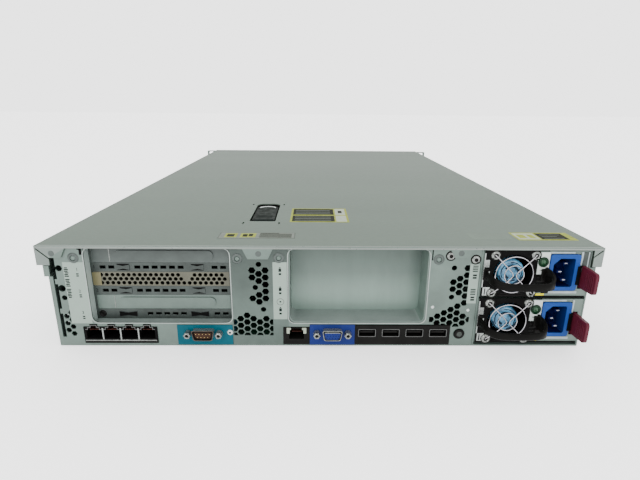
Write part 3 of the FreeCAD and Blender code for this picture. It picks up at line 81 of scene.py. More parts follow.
def fade_by_height(tree, place, colour, fade):
    """Darkens a colour by height, as painted shade; the range given is its lowest and highest place and three
    levels between them.
    """
    low, high, *levels = fade
    link = tree.links.new
    apart = tree.nodes.new("ShaderNodeSeparateXYZ")
    link(place, apart.inputs["Vector"])
    height = tree.nodes.new("ShaderNodeMapRange")
    fill(height, {"From Min": low * MM, "From Max": high * MM})
    link(apart.outputs["Z"], height.inputs["Value"])
    band = tree.nodes.new("ShaderNodeValToRGB")
    band.color_ramp.elements.new(0.5)
    for stop, level in zip(band.color_ramp.elements, levels):
        stop.color = (level, level, level, 1.0)
    link(height.outputs["Result"], band.inputs["Fac"])
    both = tree.nodes.new("ShaderNodeMix")
    both.data_type, both.blend_type = "RGBA", "MULTIPLY"
    both.inputs[0].default_value = 1.0
    link(colour, both.inputs[6])
    link(band.outputs["Color"], both.inputs[7])
    return both.outputs[2]


def surface(name, colour, metallic=0.0, rough=0.5, shade=0.06, spot=60.0, grain=900.0, bump=0.02,
            stretch=(1.0, 1.0, 1.0), coat=0.0, cast=None, shine=0.5, fade=None):
    """A procedural surface: cloudy colour, uneven roughness, a fine raised grain, and if asked painted shade
    that darkens it by height.
    """
    made = bpy.data.materials.new(name)
    made.use_nodes = True
    tree = made.node_tree
    link = tree.links.new
    shader = tree.nodes["Principled BSDF"]
    fill(shader, {"Metallic": metallic, "Coat Weight": coat, "Specular IOR Level": shine})
    where = tree.nodes.new("ShaderNodeTexCoord")
    spread = tree.nodes.new("ShaderNodeMapping")
    fill(spread, {"Scale": stretch})
    link(where.outputs["Object"], spread.inputs["Vector"])

    cloud = noise(tree, spread.outputs["Vector"], spot, 4.0)
    fill(cloud, {"Roughness": 0.6})
    ramp = tree.nodes.new("ShaderNodeValToRGB")
    ends = ramp.color_ramp.elements
    ends[0].position, ends[1].position = 0.3, 0.7
    ends[0].color = tuple(c * (1 - shade) for c in colour) + (1.0,)
    ends[1].color = tuple(min(1.0, c * (1 + shade)) for c in cast or colour) + (1.0,)
    link(cloud.outputs["Fac"], ramp.inputs["Fac"])
    tone = ramp.outputs["Color"]
    if fade:
        tone = fade_by_height(tree, where.outputs["Object"], tone, fade)
    link(tone, shader.inputs["Base Color"])

    fine = noise(tree, spread.outputs["Vector"], grain, 3.0)
    play = tree.nodes.new("ShaderNodeMapRange")
    fill(play, {"To Min": max(0.02, rough - ROUGH_PLAY), "To Max": min(1.0, rough + ROUGH_PLAY)})
    link(fine.outputs["Fac"], play.inputs["Value"])
    link(play.outputs["Result"], shader.inputs["Roughness"])
    raised = tree.nodes.new("ShaderNodeBump")
    fill(raised, {"Strength": bump, "Distance": GRAIN_HEIGHT})
    link(fine.outputs["Fac"], raised.inputs["Height"])
    link(raised.outputs["Normal"], shader.inputs["Normal"])
    return made


def sheet(name, colour, metallic, rough, shade, spot=45.0, **extra):
    """Zinc-coated sheet steel."""
    return surface(name, colour, metallic, rough, shade, spot, 600.0, 0.05, **extra)


def plastic(name, colour, rough, shade, shine, spot=70.0, grain=1500.0, bump=0.05):
    """Moulded plastic."""
    return surface(name, colour, 0.0, rough, shade, spot, grain, bump, shine=shine)


def printed(name, colour, rough, shade, spot, bump=0.02, shine=0.0):
    """Paper, film or ink."""
    return surface(name, colour, 0.0, rough, shade, spot, 2500.0, bump, shine=shine)


LID = surface("LidCoat", (0.0685, 0.092, 0.0735), 0.1, 0.6, 0.05, 9, 700, 0.03, ALONG_X, shine=0.12)
LID_FLANGE = surface("LidFlange", (0.12, 0.144, 0.132), 0.4, 0.4, 0.08, 40, 700, 0.03)
# a painted highlight for the bend along the cover's rear edge
LID_EDGE_HIGHLIGHT = surface("LidEdgeHighlight", (0.15, 0.17, 0.156), 0.6, 0.3, 0.05, 40, 700, 0.03, ALONG_X)
FRONT_PAINT = surface("FrontPaint", (0.022, 0.022, 0.024), 0.2, 0.45, 0.15, 40, 1600, 0.1, shine=0.12)

ZINC = sheet("ZincSheet", (0.0832, 0.1136, 0.0992), 0.45, 0.42, 0.14)
# the next two are painted darker towards the top as shade under the cover
ZINC_MID = sheet("ZincSheetMid", (0.0617, 0.0864, 0.075), 0.45, 0.42, 0.18, fade=(25, 84, 1, 0.76, 0.52))
ZINC_TOP = sheet("ZincSheetShaded", (0.057, 0.0705, 0.0655), 0.5, 0.42, 0.2, 55,
                 fade=(66, 84, 1, 0.76, 0.55))
ZINC_LOW = sheet("ZincSheetDull", (0.053, 0.0655, 0.0608), 0.5, 0.42, 0.2, 55)
# a painted highlight, for the left reveal of the card cage
ZINC_HIGHLIGHT = sheet("ZincSheetHighlight", (0.2924, 0.3526, 0.3268), 0.3, 0.45, 0.1)
ZINC_DARK = sheet("ZincSheetDark", (0.0272, 0.0352, 0.032), 0.5, 0.42, 0.3, 80)
# the pan's sheet painted with light and shade: its back wall darker towards the top as shade under the cover,
# its floor and right wall lighter as lit
PAN = sheet("PanSheet", (0.183, 0.25, 0.218), 0.45, 0.42, 0.1, stretch=(1, 1, 0.2),
            fade=(30, 84, 1, 0.47, 0.28))
PAN_FLOOR_LIT = sheet("PanFloorLit", (0.175, 0.21, 0.196), 0.3, 0.45, 0.1)
PAN_SIDE_LIT = sheet("PanSideLit", (0.125, 0.17, 0.149), 0.45, 0.42, 0.12)

GOLD = surface("GoldPassivated", (0.068, 0.068, 0.0496), 0.55, 0.4, 0.14, 60, 700, 0.05)
GOLD_END = surface("GoldEnd", (0.102, 0.0918, 0.0425), 0.45, 0.38, 0.1, 60, 700, 0.05)
PLATED = surface("BrightPlate", (0.26, 0.28, 0.27), 0.85, 0.28, 0.06, 80, 900, 0.04)
# a painted highlight for the edges round the card bays
BAY_EDGE_HIGHLIGHT = surface("BayEdgeHighlight", (0.24, 0.272, 0.256), 0.5, 0.3, 0.06, 60, 900, 0.03)
FIN = surface("BareAluminium", (0.341, 0.3465, 0.352), 0.9, 0.32, 0.05, 90, 900, 0.05, (1, 0.1, 1))
CARRIER = surface("CarrierMetal", (0.1, 0.105, 0.11), 0.6, 0.38, 0.08, 90, 1400, 0.06)
SLEEVE_GREY = surface("SleeveGrey", (0.1, 0.102, 0.1), 0.8, 0.3, 0.25, 200, 1500, 0.05)
RIM_METAL = surface("ConnectorRim", (0.055, 0.042, 0.034), 0.8, 0.3, 0.3, 200, 1500, 0.05)
COPPER = surface("ConnectorCopper", (0.03, 0.012, 0.006), 0.4, 0.4, 0.3, 200, 1500, 0.05, shine=0.2)
WIRE = surface("GuardWire", (0.36, 0.35, 0.37), 1, 0.2, 0.1, 200, 1500, 0.03)
SCREW = surface("ScrewSteel", (0.17, 0.18, 0.17), 1, 0.18, 0.35, 300, 2500, 0.05)
PIN = surface("PinMetal", (0.28, 0.29, 0.31), 0.95, 0.25, 0.05, 300, 2500, 0.02)
DARK_COPPER = surface("JackContact", (0.07, 0.018, 0.012), 0.6, 0.35, 0.2, 300, 2500, 0.02)
CONTACT = surface("ContactGold", (0.35, 0.26, 0.11), 0.95, 0.25, 0.05, 300, 2500, 0.02)

BLACK = plastic("BlackPlastic", (0.0042, 0.004, 0.0036), 0.34, 0.3, 0.07, 90, 1800, 0.08)
BLACK_SATIN = plastic("BlackMatte", (0.0028, 0.0028, 0.0028), 0.5, 0.3, 0.03, 90, 1500, 0.06)
STRAP = plastic("StrapBlack", (0.0034, 0.0033, 0.003), 0.42, 0.3, 0.035, 90, 1800, 0.08)
MAROON = plastic("MaroonPlastic", (0.0586, 0.0069, 0.0152), 0.38, 0.12, 0.12, 60, 1500, 0.08)
TEAL = plastic("TealPlastic", (0.0023, 0.0608, 0.0842), 0.42, 0.08, 0.08)
VIDEO = plastic("VideoBluePlastic", (0.009, 0.017, 0.1), 0.4, 0.1, 0.08)
# the next colour and the navy are painted shade: darker copies of blue plastic for the inlet's mouth, pins
# and right inner wall and for the video port's holes
INLET_WALL_SHADED = plastic("InletWallShaded", (0.003, 0.0165, 0.1013), 0.42, 0.15, 0.06)
INLET = plastic("InletBluePlastic", (0.009, 0.0423, 0.1845), 0.38, 0.1, 0.08)
BLUE_SHADE = plastic("BluePlasticShade", (0.0014, 0.0035, 0.036), 0.42, 0.25, 0.05)
BOARD = plastic("BoardGreen", (0.0045, 0.026, 0.014), 0.35, 0.15, 0.15, 160, 1800, 0.06)
# the hub's own blue, clouded with a pale cast as painted reflections
HUB = surface("HubBlue", (0.008, 0.045, 0.11), 0.1, 0.25, 0.35, 170, 1500, 0.04, coat=0.25,
              cast=(0.085, 0.27, 0.43))
BLADE = surface("BladeBlue", (0.006, 0.019, 0.034), 0.1, 0.32, 0.2, 150, 1500, 0.05, shine=0.08)
KEY = surface("KeyGrey", (0.014, 0.016, 0.015), 0.1, 0.3, 0.12, 200, 1500, 0.02, shine=0.08)
KEY_FACE = surface("KeyFace", (0.042, 0.048, 0.044), 0.1, 0.35, 0.25, 400, 1500, 0.02, shine=0.08)
LATCH_GREY = plastic("LatchGrey", (0.026, 0.029, 0.027), 0.6, 0.5, 0, 260, 1800, 0.06)
LENS = surface("LensGreen", (0.01, 0.045, 0.018), 0, 0.15, 0.3, 500, 2500, 0.02, coat=0.25, shine=0.2)

PAPER = printed("LabelPaper", (0.2028, 0.2535, 0.2223), 0.55, 0.03, 60, 0.03, 0.12)
PALE = printed("LabelPale", (0.26, 0.29, 0.235), 0.5, 0.1, 250, 0.03)
WHITE = printed("WhitePatch", (0.44, 0.48, 0.46), 0.45, 0.05, 90, 0.02, 0.2)
INK = printed("LabelInk", (0.012, 0.015, 0.014), 0.55, 0.2, 400)
GREY_INK = printed("LabelGrey", (0.085, 0.096, 0.085), 0.55, 0.12, 300)
DARK_INK = printed("LabelDarkGrey", (0.028, 0.029, 0.024), 0.5, 0.3, 500)
YELLOW = printed("LabelYellow", (0.2, 0.225, 0.055), 0.5, 0.2, 350)
YELLOW_TAG = printed("YellowTag", (0.5, 0.46, 0.02), 0.5, 0.05, 90)
LENS_RING = printed("LensRing", (0.002, 0.016, 0.006), 0.3, 0.2, 300, 0.02, 0.12)
STRIP = surface("PaleStrip", (0.26, 0.3, 0.305), 0.1, 0.45, 0.12, 200, 2500, 0.02, shine=0.15)
GHOST = surface("LabelTrace", (0.078, 0.104, 0.082), 0.3, 0.55, 0.08, 60, 900, 0.02, shine=0.05)
LABEL_GREY = surface("LabelSilver", (0.088, 0.104, 0.086), 0.1, 0.5, 0.15, 250, 2500, 0.02, shine=0.05)


# ---- making meshes

def new_object(name, data):
    """An object of some data, linked into the scene."""
    item = bpy.data.objects.new(name, data)
    bpy.context.scene.collection.objects.link(item)
    return item


def finish_mesh(name, bm, material, body=REAR, bevel=0, smooth=35):
    """Turns a bmesh in millimetres into an object that rides on a body."""
    bmesh.ops.recalc_face_normals(bm, faces=bm.faces)
    bmesh.ops.scale(bm, vec=(MM, MM, MM), verts=bm.verts)
    mesh = bpy.data.meshes.new(name)
    bm.to_mesh(mesh)
    bm.free()
    mesh.materials.append(material)
    item = new_object(name, mesh)
    if bevel:
        edge = item.modifiers.new("Edge", "BEVEL")
        edge.width = bevel * MM
        edge.segments = 2
        edge.limit_method = "ANGLE"
        edge.angle_limit = math.radians(40)
    for face in mesh.polygons:
        face.use_smooth = True
    mesh.set_sharp_from_angle(angle=math.radians(smooth))
    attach(item, body)
    return item


def add_box(bm, x, y, z):
    """Adds a box between two values on each axis."""
    size = [b - a for a, b in (x, y, z)]
    middle = [(a + b) / 2 for a, b in (x, y, z)]
    place = Matrix.Translation(middle) @ Matrix.Diagonal(size + [1])
    bmesh.ops.create_cube(bm, size=1, matrix=place)


def blocks(name, boxes, material, body=REAR, bevel=0):
    """One piece made of several boxes."""
    bm = bmesh.new()
    for x, y, z in boxes:
        add_box(bm, x, y, z)
    finish_mesh(name, bm, material, body, bevel)


def plates(name, spots, depth, material, body=REAR, bevel=0):
    """One piece of upright plates: ranges across and up, all with the same range of depth."""
    blocks(name, [(x, depth, z) for x, z in spots], material, body, bevel)


AXES = {"x": (1, 2, 0), "y": (0, 2, 1), "z": (0, 1, 2)}


def on_axis(axis, a, b, along):
    """A point from two places across an axis and one along it."""
    spot = [0, 0, 0]
    spot[AXES[axis][0]], spot[AXES[axis][1]], spot[AXES[axis][2]] = a, b, along
    return spot


def add_prism(bm, axis, start, length, loops):
    """Adds loops pushed out along an axis; inner loops are holes."""
    edges = []
    for loop in loops:
        ring = [bm.verts.new(on_axis(axis, a, b, start)) for a, b in loop]
        edges += [bm.edges.new((ring[k - 1], ring[k])) for k in range(len(ring))]
    faces = [g for g in bmesh.ops.triangle_fill(bm, use_beauty=True, edges=edges)["geom"]
             if isinstance(g, bmesh.types.BMFace)]
    made = bmesh.ops.extrude_face_region(bm, geom=faces)["geom"]
    moved = [g for g in made if isinstance(g, bmesh.types.BMVert)]
    bmesh.ops.translate(bm, vec=on_axis(axis, 0, 0, length), verts=moved)


def prism(name, start, length, loops, material, body=REAR, bevel=0, smooth=35, axis="y"):
    """A piece of one outline, with holes, pushed out along an axis."""
    bm = bmesh.new()
    add_prism(bm, axis, start, length, loops)
    finish_mesh(name, bm, material, body, bevel, smooth)


def ring_points(a, b, radius, count=28, start=0):
    """Points of a circle or of an even polygon."""
    return [(a + radius * math.cos(start + math.tau * k / count),
             b + radius * math.sin(start + math.tau * k / count)) for k in range(count)]


def rounded(a, b, radius, steps=4):
    """Points of a rectangle with round corners."""
    points = []
    low_a, high_a, low_b, high_b = a[0] + radius, a[1] - radius, b[0] + radius, b[1] - radius
    corners = ((high_a, high_b, 0), (low_a, high_b, 90), (low_a, low_b, 180), (high_a, low_b, 270))
    for mid_a, mid_b, first in corners:
        for k in range(steps + 1):
            turn = math.radians(first + 90 * k / steps)
            points.append((mid_a + radius * math.cos(turn), mid_b + radius * math.sin(turn)))
    return points


def add_lathe(bm, axis, a, b, along, profile, count=28):
    """Adds a turned shape; the profile holds pairs of radius and distance along the axis."""
    rings = []
    for radius, reach in profile:
        if radius < 1e-6:
            rings.append([bm.verts.new(on_axis(axis, a, b, along + reach))])
        else:
            rings.append([bm.verts.new(on_axis(axis, p, q, along + reach))
                          for p, q in ring_points(a, b, radius, count)])
    for lower, upper in zip(rings, rings[1:]):
        for k in range(count):
            quad = [lower[k % len(lower)], lower[(k + 1) % len(lower)],
                    upper[(k + 1) % len(upper)], upper[k % len(upper)]]
            face = list(dict.fromkeys(quad))
            if len(face) > 2:
                bm.faces.new(face)


def turned(name, places, profile, material, body=REAR, count=28, axis="y"):
    """One piece made of the same turned shape at several places."""
    bm = bmesh.new()
    for a, b, along in places:
        add_lathe(bm, axis, a, b, along, profile, count)
    finish_mesh(name, bm, material, body, 0, 50)


def wires(name, runs, radius, material, body):
    """Bent round wire: one curve object with a smooth tube for each run of points."""
    curve = bpy.data.curves.new(name, "CURVE")
    curve.dimensions = "3D"
    curve.bevel_depth = radius * MM
    curve.bevel_resolution = 3
    for points, closed in runs:
        line = curve.splines.new("NURBS")
        line.points.add(len(points) - 1)
        for spot, point in zip(line.points, points):
            spot.co = (point[0] * MM, point[1] * MM, point[2] * MM, 1)
        line.use_cyclic_u = closed
        line.order_u = 4
        line.use_endpoint_u = not closed
    curve.materials.append(material)
    item = new_object(name, curve)
    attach(item, body)
    return item


def numeral(name, text, x, z, y, height, material, body=REAR):
    """A small upright number on the rear wall."""
    letter = bpy.data.curves.new(name, "FONT")
    letter.body = text
    letter.size = height * MM * 1.35
    letter.extrude = 0.05 * MM
    letter.align_x = "CENTER"
    letter.align_y = "CENTER"
    letter.materials.append(material)
    item = new_object(name, letter)
    item.location = (x * MM, y * MM, z * MM)
    item.rotation_euler = (math.pi / 2, 0, 0)
    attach(item, body)


def edges_of(name):
    """A CAD node's lowest and highest corner in millimetres."""
    low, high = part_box(name)
    return [v / MM for v in low], [v / MM for v in high]


def centre(name):
    """The middle of a CAD node seen from behind: its place across and up."""
    low, high = edges_of(name)
    return (low[0] + high[0]) / 2, (low[2] + high[2]) / 2


def paint(name, first, *rules):
    """Gives a CAD node its materials; each rule is a material and a test of a face's middle and normal."""
    mesh = nodes[name].data
    mesh.materials.clear()
    mesh.materials.append(first)
    for material, _ in rules:
        mesh.materials.append(material)
    for face in mesh.polygons:
        middle = face.center / MM
        for index, (_, test) in enumerate(rules, start=1):
            if test(middle, face.normal):
                face.material_index = index


# ---- carried-over CAD nodes

panel = edges_of("rear_panel")[0][1]
mouth = edges_of("network_ports")[0][1]
cage_plane = edges_of("slot_cover_perforated")[0][1]
cover_foot = edges_of("slot_cover_bottom")[0][2]

PLAIN = (
    (ZINC, ("chassis_base", "rear_panel", "vent_column_right", "psu_cage", "rack_ear_left", "rack_ear_right",
            "rail_studs", "drive_cage", "fan_tray", "slot_cover_bottom")),
    (ZINC_MID, ("vent_column_mid",)),
    (ZINC_TOP, ("slot_cover_top",)),
    (GOLD, ("slot_cover_perforated",)),
    (LID, ("front_roof",)),
    (BOARD, ("riser_board", "power_backplane", "system_board", "drive_backplane", "memory_modules")),
    (BLACK, ("fan_frames", "fan_blanks", "drive_blanks", "latch_cup", "ear_lever_left", "ear_lever_right",
             "management_port", "usb_ports")),
    (BLACK_SATIN, ("network_ports", "fan_rotor_1", "fan_rotor_2", "fan_rotor_3", "fan_rotor_4")),
    (CARRIER, ("drive_1", "drive_2")),
    (MAROON, ("drive_lever_1", "drive_lever_2")),
    (LATCH_GREY, ("latch_handle",)),
    (FIN, ("heat_sink",)),
    (FRONT_PAINT, ("front_panel",)),
    (KEY, ("uid_button", "power_button")))
for material, names in PLAIN:
    for name in names:
        paint(name, material)

# the cage: dark strips between its covers, raised bows on the lowest painted black as shade, a foot painted
# lighter as lit from above and a left reveal painted pale as a highlight
paint("riser_cage", ZINC_LOW,
      (ZINC_DARK, lambda p, n: n.y < -0.9 and p.y > cage_plane - 2.1),
      (PAN_FLOOR_LIT, lambda p, n: n.z > 0.7 and p.z < 26 and p.y < cage_plane + 1.9),
      (BLACK_SATIN, lambda p, n: n.y < -0.5 and -6.1 < p.y - cage_plane < -0.05 and p.z < cover_foot - 1),
      (ZINC_HIGHLIGHT, lambda p, n: n.x > 0.7 and p.x < -180 and p.y < cage_plane + 1.9))

# the blank pan, painted with light and shade: its floor lighter as if lit from above, its back wall darker
# towards the top as shade under the cover, and its right wall lighter as lit
paint("riser_blank", ZINC,
      (PAN_FLOOR_LIT, lambda p, n: n.z > 0.3 and p.z < 40),
      (PAN, lambda p, n: n.y < -0.9 and p.y > panel + 6.4),
      (PAN_SIDE_LIT, lambda p, n: n.x < -0.5 and p.y > panel + 1.4))

# the cover: coated on top, bare on its rear flange and its side flanges
paint("top_cover", LID,
      (LID_FLANGE, lambda p, n: n.y < -0.9 and abs(p.x) > 205 and p.y < -300),
      (LID_FLANGE, lambda p, n: abs(n.x) > 0.9 and abs(p.x) > 222),
      (ZINC, lambda p, n: n.y < -0.9 and abs(p.x) < 205 and p.y < -300))

paint("serial_port", TEAL,
      (PLATED, lambda p, n: p.y < mouth - 0.05),
      (BLACK_SATIN, lambda p, n: n.y < -0.9 and mouth - 0.7 < p.y < mouth - 0.05))
paint("video_port", VIDEO, (PLATED, lambda p, n: p.y < mouth - 0.05))


# ---- power supplies

# trim that stands half a millimetre proud of the face
LIP = (-0.5, 0)
GUARD_RINGS = (15.6, 8)
GUARD_WIRE = 0.45
SCREW_CIRCLE = 22.6
HUB_RADIUS = 11
HUB_DEPTH = 4.4
HUB_PROFILE = [(0, -0.9), (3.2, -0.85), (3.5, -0.5), (7, -0.5), (7.3, -0.8), (9.6, -0.6), (10.6, 0.1),
               (HUB_RADIUS, 1.2)]
# dark arcs painted on the hub as reflections and shade: first and last angle in degrees, inner and outer
# radius
HUB_ARCS = ((20, 150, 4.4, 6.2), (200, 250, 4.4, 6.2), (275, 340, 4.6, 5.8), (-30, 100, 8.2, 8.9),
            (130, 215, 8, 8.8), (195, 262, 9.4, 10.6), (284, 338, 9.2, 10.6), (222, 300, 6.9, 7.8),
            (-8, 22, 5, 7.2))
STRAP_HALF_THICK = 1.3
STRAP_SOFT = 0.7
STRAP_STEPS = 36


def read_unit(name):
    """The places on a power supply's rear face that its trim is worked out from."""
    low, high = edges_of(f"{name}_case")
    ring_low, ring_high = edges_of(f"{name}_fan_frame")
    fan_x, fan_z = centre(f"{name}_fan_frame")
    inlet_low, inlet_high = edges_of(f"{name}_inlet")
    return SimpleNamespace(
        name=name, left=low[0], right=high[0], face=low[1], foot=low[2], fan_x=fan_x, fan_z=fan_z,
        well=(ring_high[0] - ring_low[0]) / 2, inlet_low=inlet_low, inlet_high=inlet_high,
        inlet_left=inlet_low[0] - low[0], inlet_right=inlet_high[0] - low[0],
        inlet_foot=inlet_low[2] - low[2], inlet_top=inlet_high[2] - low[2], inlet_front=inlet_low[1] - low[1])


def on_unit(unit, part, boxes, material, bevel=0):
    """One piece of boxes, each given by its ranges from the supply's left edge, its face and its foot."""
    moved = [[(start + a, start + b) for start, (a, b) in zip((unit.left, unit.face, unit.foot), box)]
             for box in boxes]
    blocks(f"{unit.name}_{part}", moved, material, unit.name, bevel)


def fan_surround(unit):
    """The black moulded surround of the fan, which leaves the steel bare at its left corners."""
    corners = [(0.5, 40.2), (43.4, 40.2), (43.4, 19.6), (52.8, 19.6), (52.8, 4.8), (43.4, 3.4), (43.4, 0.1),
               (0.5, 0.1)]
    outline = [(unit.left + a, unit.foot + b) for a, b in corners]
    hole = ring_points(unit.fan_x, unit.fan_z, unit.well - 1, 48)
    prism(f"{unit.name}_fan_surround", unit.face - 0.5, 0.5, [outline, hole], BLACK_SATIN, unit.name, 0.2)
    middle = unit.fan_x - unit.left
    ribs = [((middle - 10 + 1.2 * k, middle + 11 - 1.4 * k), (-0.95, -0.5), (1.5 + 1.5 * k, 2.2 + 1.5 * k))
            for k in range(2)]
    ribs += [((44.5, 52), (-0.9, -0.5), (7 + 3.2 * k, 8.2 + 3.2 * k)) for k in range(4)]
    on_unit(unit, "surround_ribs", ribs, BLACK, 0.15)


def side_clips(unit):
    """The bright clips at the left edge of a supply, and the dark gaps in them."""
    thin = (-0.8, -0.5)
    on_unit(unit, "side_clip", [((0.9, 5.9), (-1, -0.5), (14.9, 22.3)), ((1.4, 5), thin, (25.7, 31.9)),
                                ((0.6, 1.5), thin, (8.5, 37.5)), ((1.8, 7.4), thin, (1.4, 8.6)),
                                ((6.4, 7.2), (-0.7, -0.5), (12.5, 19))], PLATED, 0.2)
    dark = (-1.2, -0.9)
    on_unit(unit, "side_gaps", [((1.6, 5), dark, (16.8, 17.7)), ((1.6, 5), dark, (19.5, 20.6)),
                                ((3.2, 4), (-1, -0.7), (2.2, 7.6))], BLACK_SATIN, 0.1)


def wire_guard(unit):
    """Two rings, and on each side a wire that bends at the middle and ends at the screws."""
    x, z, face = unit.fan_x, unit.fan_z, unit.face
    plane = face - 2
    rings = [([(a, plane, b) for a, b in ring_points(x, z, radius, 16)], True) for radius in GUARD_RINGS]
    upper_half = [(16.6, face - 1.2, 16.4), (13.2, plane - 0.4, 13.4), (8.4, plane - 1, 8.6),
                  (4.2, plane - 1, 4.4), (1.2, plane - 1, 1.2)]
    spokes = []
    for side in (-1, 1):
        path = [(x + side * out, y, z + up) for out, y, up in upper_half]
        path += [(x + side * out, y, z - up) for out, y, up in reversed(upper_half)]
        spokes.append((path, False))
    guard = wires(f"{unit.name}_wire_guard", rings + spokes, GUARD_WIRE, WIRE, unit.name)
    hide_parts(f"{unit.name}_guard")


def guard_screws(unit):
    """The four screws of the guard: a black washer, a bright ring, a recess painted dark as part of the
    head's reflection, and a painted glint.
    """
    name, face = unit.name, unit.face
    turns = [math.radians(45 + 90 * k) for k in range(4)]
    eyes = [(unit.fan_x + SCREW_CIRCLE * math.cos(t), unit.fan_z + SCREW_CIRCLE * math.sin(t), face)
            for t in turns]
    washer = [(0, -0.8), (4.3, -0.8), (4.6, -0.5), (4.6, 0)]
    head = [(1.5, -1.2), (1.7, -2), (2.2, -2.3), (3, -2), (3.6, -1.4), (3.9, -0.8)]
    recess = [(0, -1.35), (1.55, -1.35), (1.6, -0.9)]
    turned(f"{name}_screw_washer", eyes, washer, BLACK, name)
    turned(f"{name}_screw_head", eyes, head, SCREW, name)
    turned(f"{name}_screw_recess", eyes, recess, BLACK_SATIN, name)
    blocks(f"{name}_screw_cross", [((x - 0.9, x + 0.3), (face - 1.6, face - 1.3), (z - 0.1, z + 0.6))
                                   for x, z, _ in eyes], SCREW, name)


def fan_hub(unit):
    """The blue cap over the rotor's hub, with dark arcs painted on it as reflections and shade."""
    x, z = unit.fan_x, unit.fan_z
    cap = unit.face + HUB_DEPTH
    rotor_face = edges_of(f"{unit.name}_rotor")[0][1]
    body = f"{unit.name}_fan"
    profile = HUB_PROFILE + [(HUB_RADIUS, rotor_face - cap)]
    turned(f"{unit.name}_hub_cap", [(x, z, cap)], profile, HUB, body, 40)
    bm = bmesh.new()
    for first, last, inner, outer in HUB_ARCS:
        turns = [math.radians(first + (last - first) * k / 10) for k in range(11)]
        arc = [(x + outer * math.cos(t), z + outer * math.sin(t)) for t in turns]
        arc += [(x + inner * math.cos(t), z + inner * math.sin(t)) for t in reversed(turns)]
        add_prism(bm, "y", cap - 0.95, 0.5, [arc])
    finish_mesh(f"{unit.name}_hub_marks", bm, BLADE, body)


def strap_section(wide):
    """The strap's section: offsets through its thickness and up its width, with soft corners."""
    thick, flat = STRAP_HALF_THICK, STRAP_HALF_THICK - STRAP_SOFT
    return ((thick, STRAP_SOFT - wide), (thick, wide - STRAP_SOFT), (flat, wide), (-flat, wide),
            (-thick, wide - STRAP_SOFT), (-thick, STRAP_SOFT - wide), (-flat, -wide), (flat, -wide))


def strap_handle(unit):
    """The strap handle: a band that bows out, sags in its middle and widens at its right end."""
    low, high = edges_of(f"{unit.name}_handle")
    foot = unit.left + 1.6
    half = (unit.inlet_low[0] - 0.6 - foot) / 2
    reach = unit.face - low[1]
    middle = foot + half
    level = (low[2] + high[2]) / 2
    bm = bmesh.new()
    grid = []
    for k in range(STRAP_STEPS + 1):
        turn = math.pi * k / STRAP_STEPS
        across, out = -math.cos(turn), math.sin(turn)
        x = middle + (half - STRAP_HALF_THICK) * math.copysign(math.sqrt(abs(across)), across)
        y = unit.face - (reach - STRAP_HALF_THICK) * math.sqrt(abs(out))
        wide = 3.4 - 0.5 * out ** 2 + 2.8 * max(0, across) ** 5
        drop = 1.9 * out
        normal = Vector((across * abs(across) ** 0.2 / half, -abs(out) / reach, 0)).normalized()
        spots = [(x + normal.x * away, min(y + normal.y * away, unit.face), level - drop + up)
                 for away, up in strap_section(wide)]
        grid.append([bm.verts.new(spot) for spot in spots])
    for this, following in zip(grid, grid[1:]):
        for k in range(8):
            bm.faces.new((this[k], this[(k + 1) % 8], following[(k + 1) % 8], following[k]))
    bm.faces.new(grid[0])
    bm.faces.new(list(reversed(grid[-1])))
    strap = finish_mesh(f"{unit.name}_strap", bm, STRAP, unit.name, 0, 60)
    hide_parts(f"{unit.name}_handle")
    ends = ((middle - half - 0.8, middle - half + 3.2), (middle + half - 5.2, middle + half - 0.2))
    blocks(f"{unit.name}_strap_feet", [(end, (unit.face - 2, unit.face), (low[2] - 0.8, high[2] + 0.8))
                                       for end in ends], BLACK, unit.name, 0.5)


def status_lamp(unit):
    """The green status lamp on its pale patch."""
    name = unit.name
    x, z = unit.left + 48, unit.foot + 30.2
    on_unit(unit, "status_patch", [((43.8, 52.9), LIP, (19.8, 38.4))], WHITE, 0.12)
    at = [(x, z, unit.face + LIP[0])]
    ring = [(2.3, -0.2), (2.6, -0.9), (3.7, -0.9), (4.2, -0.5), (4.3, 0)]
    turned(f"{name}_status_ring", at, ring, LENS_RING, name)
    turned(f"{name}_status_lens", at, [(0, -1.2), (1, -1.1), (1.9, -0.7), (2.4, -0.2)], LENS, name)
    mark = (-0.58, -0.45)
    lines = [((45.8, 49.6), mark, (23, 23.6)), ((47.2, 48.4), mark, (22.4, 24.4))]
    on_unit(unit, "status_mark", lines, GREY_INK)


